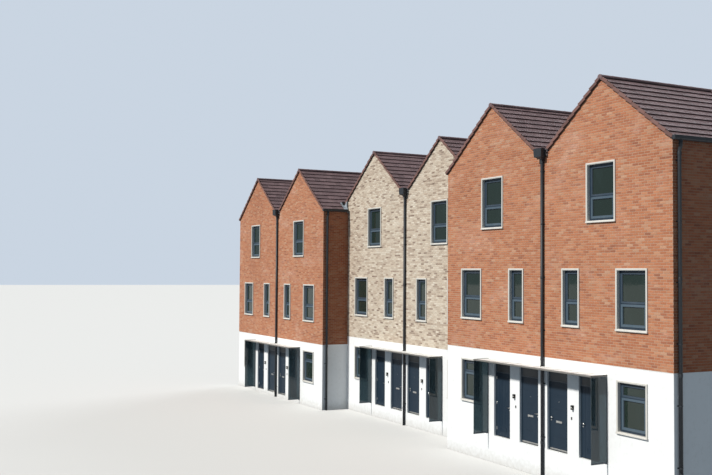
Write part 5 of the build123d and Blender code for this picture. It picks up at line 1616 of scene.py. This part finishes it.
for name, cx, fy, fz, half in PAIRS:
    for s in (-1, 1):
        x = cx + s * 1.425
        P = wall_basis("front", fy)
        # wall plate
        pr = rounded_rect(0.086, 0.130, 0.012)
        st = [lambda p, d=d, k=k: P.at(x + p[0] * k, fz + 1.455 + p[1] * k, d)
              for d, k in ((0.0, 1.0), (0.007, 1.0), (0.010, 0.95))]
        sweep(LMP, pr, st, m=0)
        # upright body, round in plan, with a waist band of glass
        prof = [(0.0, 0.018), (0.004, 0.036), (0.010, 0.0385), (0.042, 0.0385), (0.044, 0.0355), (0.046, 0.0345)]
        collar(LMP, (x, fy - 0.050, fz + 1.386), (0, 0, 1), 0, prof, n=28, solid=True)
        collar(LMP, (x, fy - 0.050, fz + 1.431), (0, 0, 1), 0, [(0.0, 0.034), (0.048, 0.034), (0.048, 0.031), (0.0, 0.031)], n=28, m=1)
        prof = [(0.0, 0.0345), (0.002, 0.0385), (0.036, 0.0385), (0.044, 0.036), (0.046, 0.018)]
        collar(LMP, (x, fy - 0.050, fz + 1.478), (0, 0, 1), 0, prof, n=28, solid=True)
        for q in range(4):
            t = math.radians(45 + 90 * q)
            xx, yy = x + 0.0355 * math.cos(t), fy - 0.050 + 0.0355 * math.sin(t)
            box(LMP, (xx - 0.0022, yy - 0.0022, fz + 1.429), (xx + 0.0022, yy + 0.0022, fz + 1.481), 0.0008)
        box(LMP, (x - 0.015, fy - 0.028, fz + 1.400), (x + 0.015, fy - 0.008, fz + 1.425), 0.004)
        box(LMP, (x - 0.015, fy - 0.028, fz + 1.485), (x + 0.015, fy - 0.008, fz + 1.510), 0.004)
LMPGLASS = glass_material("lamp_glass", (0.80, 0.80, 0.76), 0.18)
LMP.make("wall_lamp_bodies", "black_metal", [BLACK, LMPGLASS], replaces=("wall_lamps",))

BEL = Build()
for name, cx, fy, fz, half in PAIRS:
    for s in (-1, 1):
        x = cx + s * 1.365
        P = wall_basis("front", fy)
        z = fz + 1.1175
        pr = rounded_rect(0.050, 0.085, 0.007)
        sweep(BEL, pr, [lambda p, d=d, k=k: P.at(x + p[0] * k, z + p[1] * k, d)
                        for d, k in ((0.0, 1.0), (0.0095, 1.0), (0.012, 0.94))])
        collar(BEL, P.at(x, z - 0.014, 0.011), P.n, 0, [(0, 0.0125), (0.0, 0.0125), (0.003, 0.0115), (0.0035, 0.0095), (0.0030, 0.009)], n=24, m=1, solid=True)
        for q in range(3):
            box(BEL, (x - 0.012, z + 0.014 + q * 0.006, 0.011), (x + 0.012, z + 0.017 + q * 0.006, 0.0135), 0.0008, P=P)
BEL.make("bell_push_plates", "black_metal", [BLACK, STEEL], replaces=("bell_plates",))

# ----------------------------------------------------------------------
# doors: each leaf is one piece on its own body
# ----------------------------------------------------------------------
OX0, OX1, IX0, IX1 = 1.68, 2.56, 0.22, 1.17
JAMB, LGAP, LY0, LT, LZ0, LZ1, HZ = 0.045, 0.007, 0.075, 0.044, 0.024, 2.122, 1.020
for name, cx, fy, fz, half in PAIRS:
    for side, s in (("left", -1), ("right", 1)):
        for kind, a, b in (("store", OX0, OX1), ("front", IX0, IX1)):
            node = f"{name}_{side}_{kind}_door"
            x0, x1 = sorted((cx + s * a, cx + s * b))
            la, lb = x0 + JAMB + LGAP, x1 - JAMB - LGAP
            free = lb if side == "left" else la
            inward = -1 if side == "left" else 1
            hinge_x = la if side == "left" else lb
            hx = free + inward * 0.062
            za, zb = fz + LZ0, fz + LZ1
            B = Build()
            ya, yb = fy + LY0, fy + LY0 + LT
            # core, set in 4 mm from each face, and a full edge band
            box(B, (la, ya + 0.004, za), (lb, yb - 0.004, zb), 0.001)
            for face, P in ((ya, wall_basis("front", ya)), (yb, wall_basis("rear", yb))):
                q = 1 if face == ya else -1
                ua, ub = sorted((q * la, q * lb))
                hub = q * hx
                if kind == "front":
                    # five plates, one above another, on each face
                    rails = [(za, za + 0.150), (za + 0.700, za + 0.706), (za + 1.400, za + 1.406)]
                    plates = []
                    zs = [za, za + 0.420, za + 0.840, za + 1.260, za + 1.680, zb]
                    for i in range(5):
                        plates.append((ua, ub, zs[i] + (0.0025 if i else 0), zs[i + 1] - (0.0025 if i < 4 else 0)))
                else:
                    w = (ub - ua) / 5
                    plates = [(ua + i * w + (0.002 if i else 0), ua + (i + 1) * w - (0.002 if i < 4 else 0), za, zb) for i in range(5)]
                for (pa, pb, pc, pd) in plates:
                    box(B, (pa, pc, -0.006), (pb, pd, 0.0), 0.0018, P=P)
                # rose, neck and lever
                inw = inward * q
                collar(B, P.at(hub, fz + HZ, 0.0), P.n, 0, [(0, 0.010), (0.0, 0.026), (0.006, 0.026), (0.009, 0.0235), (0.0095, 0.009)], n=28, m=1)
                tube(B, [P.at(hub, fz + HZ, 0.004), P.at(hub, fz + HZ, 0.045), P.at(hub + inw * 0.112, fz + HZ, 0.045)],
                     0.0088, n=16, m=1, bend=0.022)
                # cylinder guard below
                collar(B, P.at(hub, fz + HZ - 0.085, 0.0), P.n, 0, [(0, 0.006), (0.0, 0.024), (0.006, 0.024), (0.009, 0.0215), (0.0095, 0.010), (0.013, 0.0085), (0.0135, 0.004)], n=24, m=1, solid=True)
                box(B, (hub - 0.0012, fz + HZ - 0.090, 0.012), (hub + 0.0012, fz + HZ - 0.080, 0.0137), 0.0004, m=2, P=P)
                if kind == "front":
                    # letter flap with its frame
                    um = (ua + ub) / 2
                    zc = fz + HZ - 0.11
                    ring(B, P, um - 0.135, um + 0.135, zc - 0.034, zc + 0.034,
                         [(0.0, 0.0), (0.0, 0.005), (0.002, 0.0065), (0.011, 0.0065), (0.013, 0.004), (0.013, 0.0)], m=1)
                    box(B, (um - 0.121, zc - 0.0195, 0.0), (um + 0.121, zc + 0.0195, 0.005), 0.0015, m=1, P=P)
                    if face == ya:
                        # weather bar at the foot, and an eye piece
                        box(B, (ua + 0.004, za + 0.016, 0.0), (ub - 0.004, za + 0.034, 0.014), 0.003, m=1, P=P)
                        box(B, (ua + 0.004, za + 0.034, 0.0), (ub - 0.004, za + 0.062, 0.006), 0.003, m=1, P=P)
                        collar(B, P.at(um, fz + 1.52, 0.0), P.n, 0, [(0, 0.004), (0.0, 0.010), (0.003, 0.010), (0.005, 0.007), (0.0052, 0.003)], n=20, m=1, solid=True)
                        collar(B, P.at(um, fz + 1.52, 0.001), P.n, 0, [(0, 0.0035), (0.0046, 0.0035)], n=12, m=2, solid=True)
                else:
                    # low vent of slanted blades
                    um = (ua + ub) / 2
                    for zc in (za + 0.24,):
                        ring(B, P, um - 0.16, um + 0.16, zc - 0.07, zc + 0.07,
                             [(0.0, 0.0), (0.0, 0.006), (0.002, 0.008), (0.012, 0.008), (0.014, 0.005), (0.014, 0.0)], m=0)
                        for r in range(7):
                            zz = zc - 0.054 + r * 0.0172
                            v = [P.at(um - 0.147, zz, 0.006), P.at(um + 0.147, zz, 0.006), P.at(um + 0.147, zz + 0.014, 0.0008), P.at(um - 0.147, zz + 0.014, 0.0008),
                                 P.at(um - 0.147, zz - 0.002, 0.0045), P.at(um + 0.147, zz - 0.002, 0.0045), P.at(um + 0.147, zz + 0.012, -0.0005), P.at(um - 0.147, zz + 0.012, -0.0005)]
                            B.add(v, [(0, 1, 2, 3), (7, 6, 5, 4), (4, 5, 1, 0), (5, 6, 2, 1), (6, 7, 3, 2), (7, 4, 0, 3)])
            # hinge knuckles on the pivot line
            hy_ = yb if kind == "front" else ya
            for z in (0.22, 1.06, 1.90):
                zz = fz + z
                for i in range(3):
                    tube(B, [(hinge_x, hy_, zz + i * 0.034), (hinge_x, hy_, zz + i * 0.034 + 0.0325)], 0.0064, n=14, m=1)
                # flap on the leaf's edge face
                P = wall_basis("rear", yb) if kind == "front" else wall_basis("front", ya)
                q = -1 if kind == "front" else 1
                u0, u1 = sorted((q * hinge_x, q * (hinge_x - inward * 0.030)))
                box(B, (u0, zz, -0.001), (u1, zz + 0.100, 0.0022), 0.0008, m=1, P=P)
            # seal along the top
            mid = (ya + yb) / 2
            box(B, (la + 0.02, mid - 0.004, zb - 0.001), (lb - 0.02, mid + 0.004, zb + 0.004), 0.001, m=2)
            B.make(node + "_leaf", "door_paint", [DOOR, STEEL, RUBBER], body=node, replaces=(node,))

# fixed panels over the doors, drips over the leaves and beads on the jambs
HED = Build()
for name, cx, fy, fz, half in PAIRS:
    P = wall_basis("front", fy + 0.060)
    for s in (-1, 1):
        for a, b in ((OX0, OX1), (IX0, IX1)):
            x0, x1 = sorted((cx + s * a, cx + s * b))
            ua, ub = x0 + JAMB + 0.002, x1 - JAMB - 0.002
            ring(HED, P, ua, ub, fz + 2.132, fz + 2.468, [(0.0, -0.002), (0.0, 0.006), (0.002, 0.008), (0.028, 0.008), (0.032, 0.004), (0.034, -0.002)])
            box(HED, (ua + 0.040, fz + 2.172, -0.002), (ub - 0.040, fz + 2.428, 0.003), 0.002, m=1, P=P)
            # drip over the leaf
            box(HED, (ua - 0.002, fz + 2.128, 0.004), (ub + 0.002, fz + 2.137, 0.017), 0.002, P=P)
            # jamb face beads
            for u in (x0 + 0.0225, x1 - 0.0225):
                box(HED, (u - 0.016, fz + 0.018, -0.001), (u + 0.016, fz + 2.466, 0.0045), 0.002, P=P)
HED.make("door_surround_beads", "dark_frame", [FRAME, HEADP])

# ----------------------------------------------------------------------
# CAD nodes that stay, with their materials
# ----------------------------------------------------------------------
KEEP = {
    "ground_bases": RENDER, "lower_ground_front": RENDER, "middle_ground_front": RENDER, "upper_ground_front": RENDER,
    "render_bands": RENDER,
    "lower_front_brick": MORTAR_RED, "middle_front_brick": MORTAR_BUFF, "upper_front_brick": MORTAR_RED,
    "lower_rear_wall": MORTAR_RED, "middle_rear_wall": MORTAR_BUFF, "upper_rear_wall": MORTAR_RED,
    # the cross walls take the darker mortar, painted shade on the ends and returns
    "cross_walls": MORTAR_PAINTED_SHADE, "upper_floors": WOOD, "valley_gutters": LEAD, "canopy_screens": TINT,
    "door_jambs": FRAME, "door_heads": HEADP, "door_thresholds": STEEL,
}
for node, mat in KEEP.items():
    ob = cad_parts[node]
    ob.data.materials.clear()
    ob.data.materials.append(mat)

# ----------------------------------------------------------------------
# floor, light and camera
# ----------------------------------------------------------------------
me = bpy.data.meshes.new("floor")
me.from_pydata([(-400, -400, -0.002), (400, -400, -0.002), (400, 400, -0.002), (-400, 400, -0.002)], [], [(0, 1, 2, 3)])
floor = bpy.data.objects.new("floor", me)
bpy.context.scene.collection.objects.link(floor)
fm = bpy.data.materials.new("studio_floor")
fm.use_nodes = True
fp = fm.node_tree.nodes["Principled BSDF"]
fp.inputs["Base Color"].default_value = (0.60, 0.60, 0.59, 1)
fp.inputs["Roughness"].default_value = 0.9
me.materials.append(fm)
floor.visible_diffuse = False

sun = bpy.data.objects.new("sun", bpy.data.lights.new("sun", "SUN"))
sun.data.energy = 4.8
sun.data.angle = math.radians(5)
sun.data.color = (1.0, 0.965, 0.91)
bpy.context.scene.collection.objects.link(sun)
sun.rotation_euler = Vector((-0.030, -0.748, 0.663)).to_track_quat("Z", "Y").to_euler()

fill = bpy.data.objects.new("fill", bpy.data.lights.new("fill", "SUN"))
fill.data.energy = 1.2
fill.data.angle = math.radians(30)
fill.data.color = (0.93, 0.96, 1.0)
bpy.context.scene.collection.objects.link(fill)
fill.rotation_euler = Vector((-0.42, 0.80, 0.43)).to_track_quat("Z", "Y").to_euler()

world = bpy.data.worlds.new("studio") if not bpy.context.scene.world else bpy.context.scene.world
bpy.context.scene.world = world
world.use_nodes = True
wt = world.node_tree
wt.nodes.clear()
ambient, seen = wt.nodes.new("ShaderNodeBackground"), wt.nodes.new("ShaderNodeBackground")
ambient.inputs[0].default_value = (0.72, 0.86, 1.0, 1)
ambient.inputs[1].default_value = 0.32
seen.inputs[0].default_value = (0.62, 0.70, 0.80, 1)
seen.inputs[1].default_value = 0.95
path, both, wo = wt.nodes.new("ShaderNodeLightPath"), wt.nodes.new("ShaderNodeMixShader"), wt.nodes.new("ShaderNodeOutputWorld")
wt.links.new(path.outputs["Is Camera Ray"], both.inputs[0])
wt.links.new(ambient.outputs[0], both.inputs[1])
wt.links.new(seen.outputs[0], both.inputs[2])
wt.links.new(both.outputs[0], wo.inputs[0])

bpy.context.scene.view_settings.view_transform = "Standard"
bpy.context.scene.view_settings.look = "None"
bpy.context.scene.view_settings.exposure = 0.0

YAW, ROLL = math.radians(-62.2574), math.radians(0.373)
fwd = Vector((-0.88444, 0.46518, 0.03695)).normalized()
r0 = fwd.cross(Vector((0, 0, 1))).normalized()
u0 = r0.cross(fwd).normalized()
rt = r0 * math.cos(ROLL) + u0 * math.sin(ROLL)
upv = u0 * math.cos(ROLL) - r0 * math.sin(ROLL)
cam = bpy.data.objects.new("camera", bpy.data.cameras.new("camera"))
bpy.context.scene.collection.objects.link(cam)
m = Matrix(((rt.x, upv.x, -fwd.x, 34.3213), (rt.y, upv.y, -fwd.y, -23.0776), (rt.z, upv.z, -fwd.z, 6.3606), (0, 0, 0, 1)))
cam.matrix_world = m
cam.data.sensor_width = 36
cam.data.sensor_fit = "HORIZONTAL"
cam.data.lens = 47.86
cam.data.clip_start = 0.1
cam.data.clip_end = 900
cam.data.dof.use_dof = False
bpy.context.scene.camera = cam
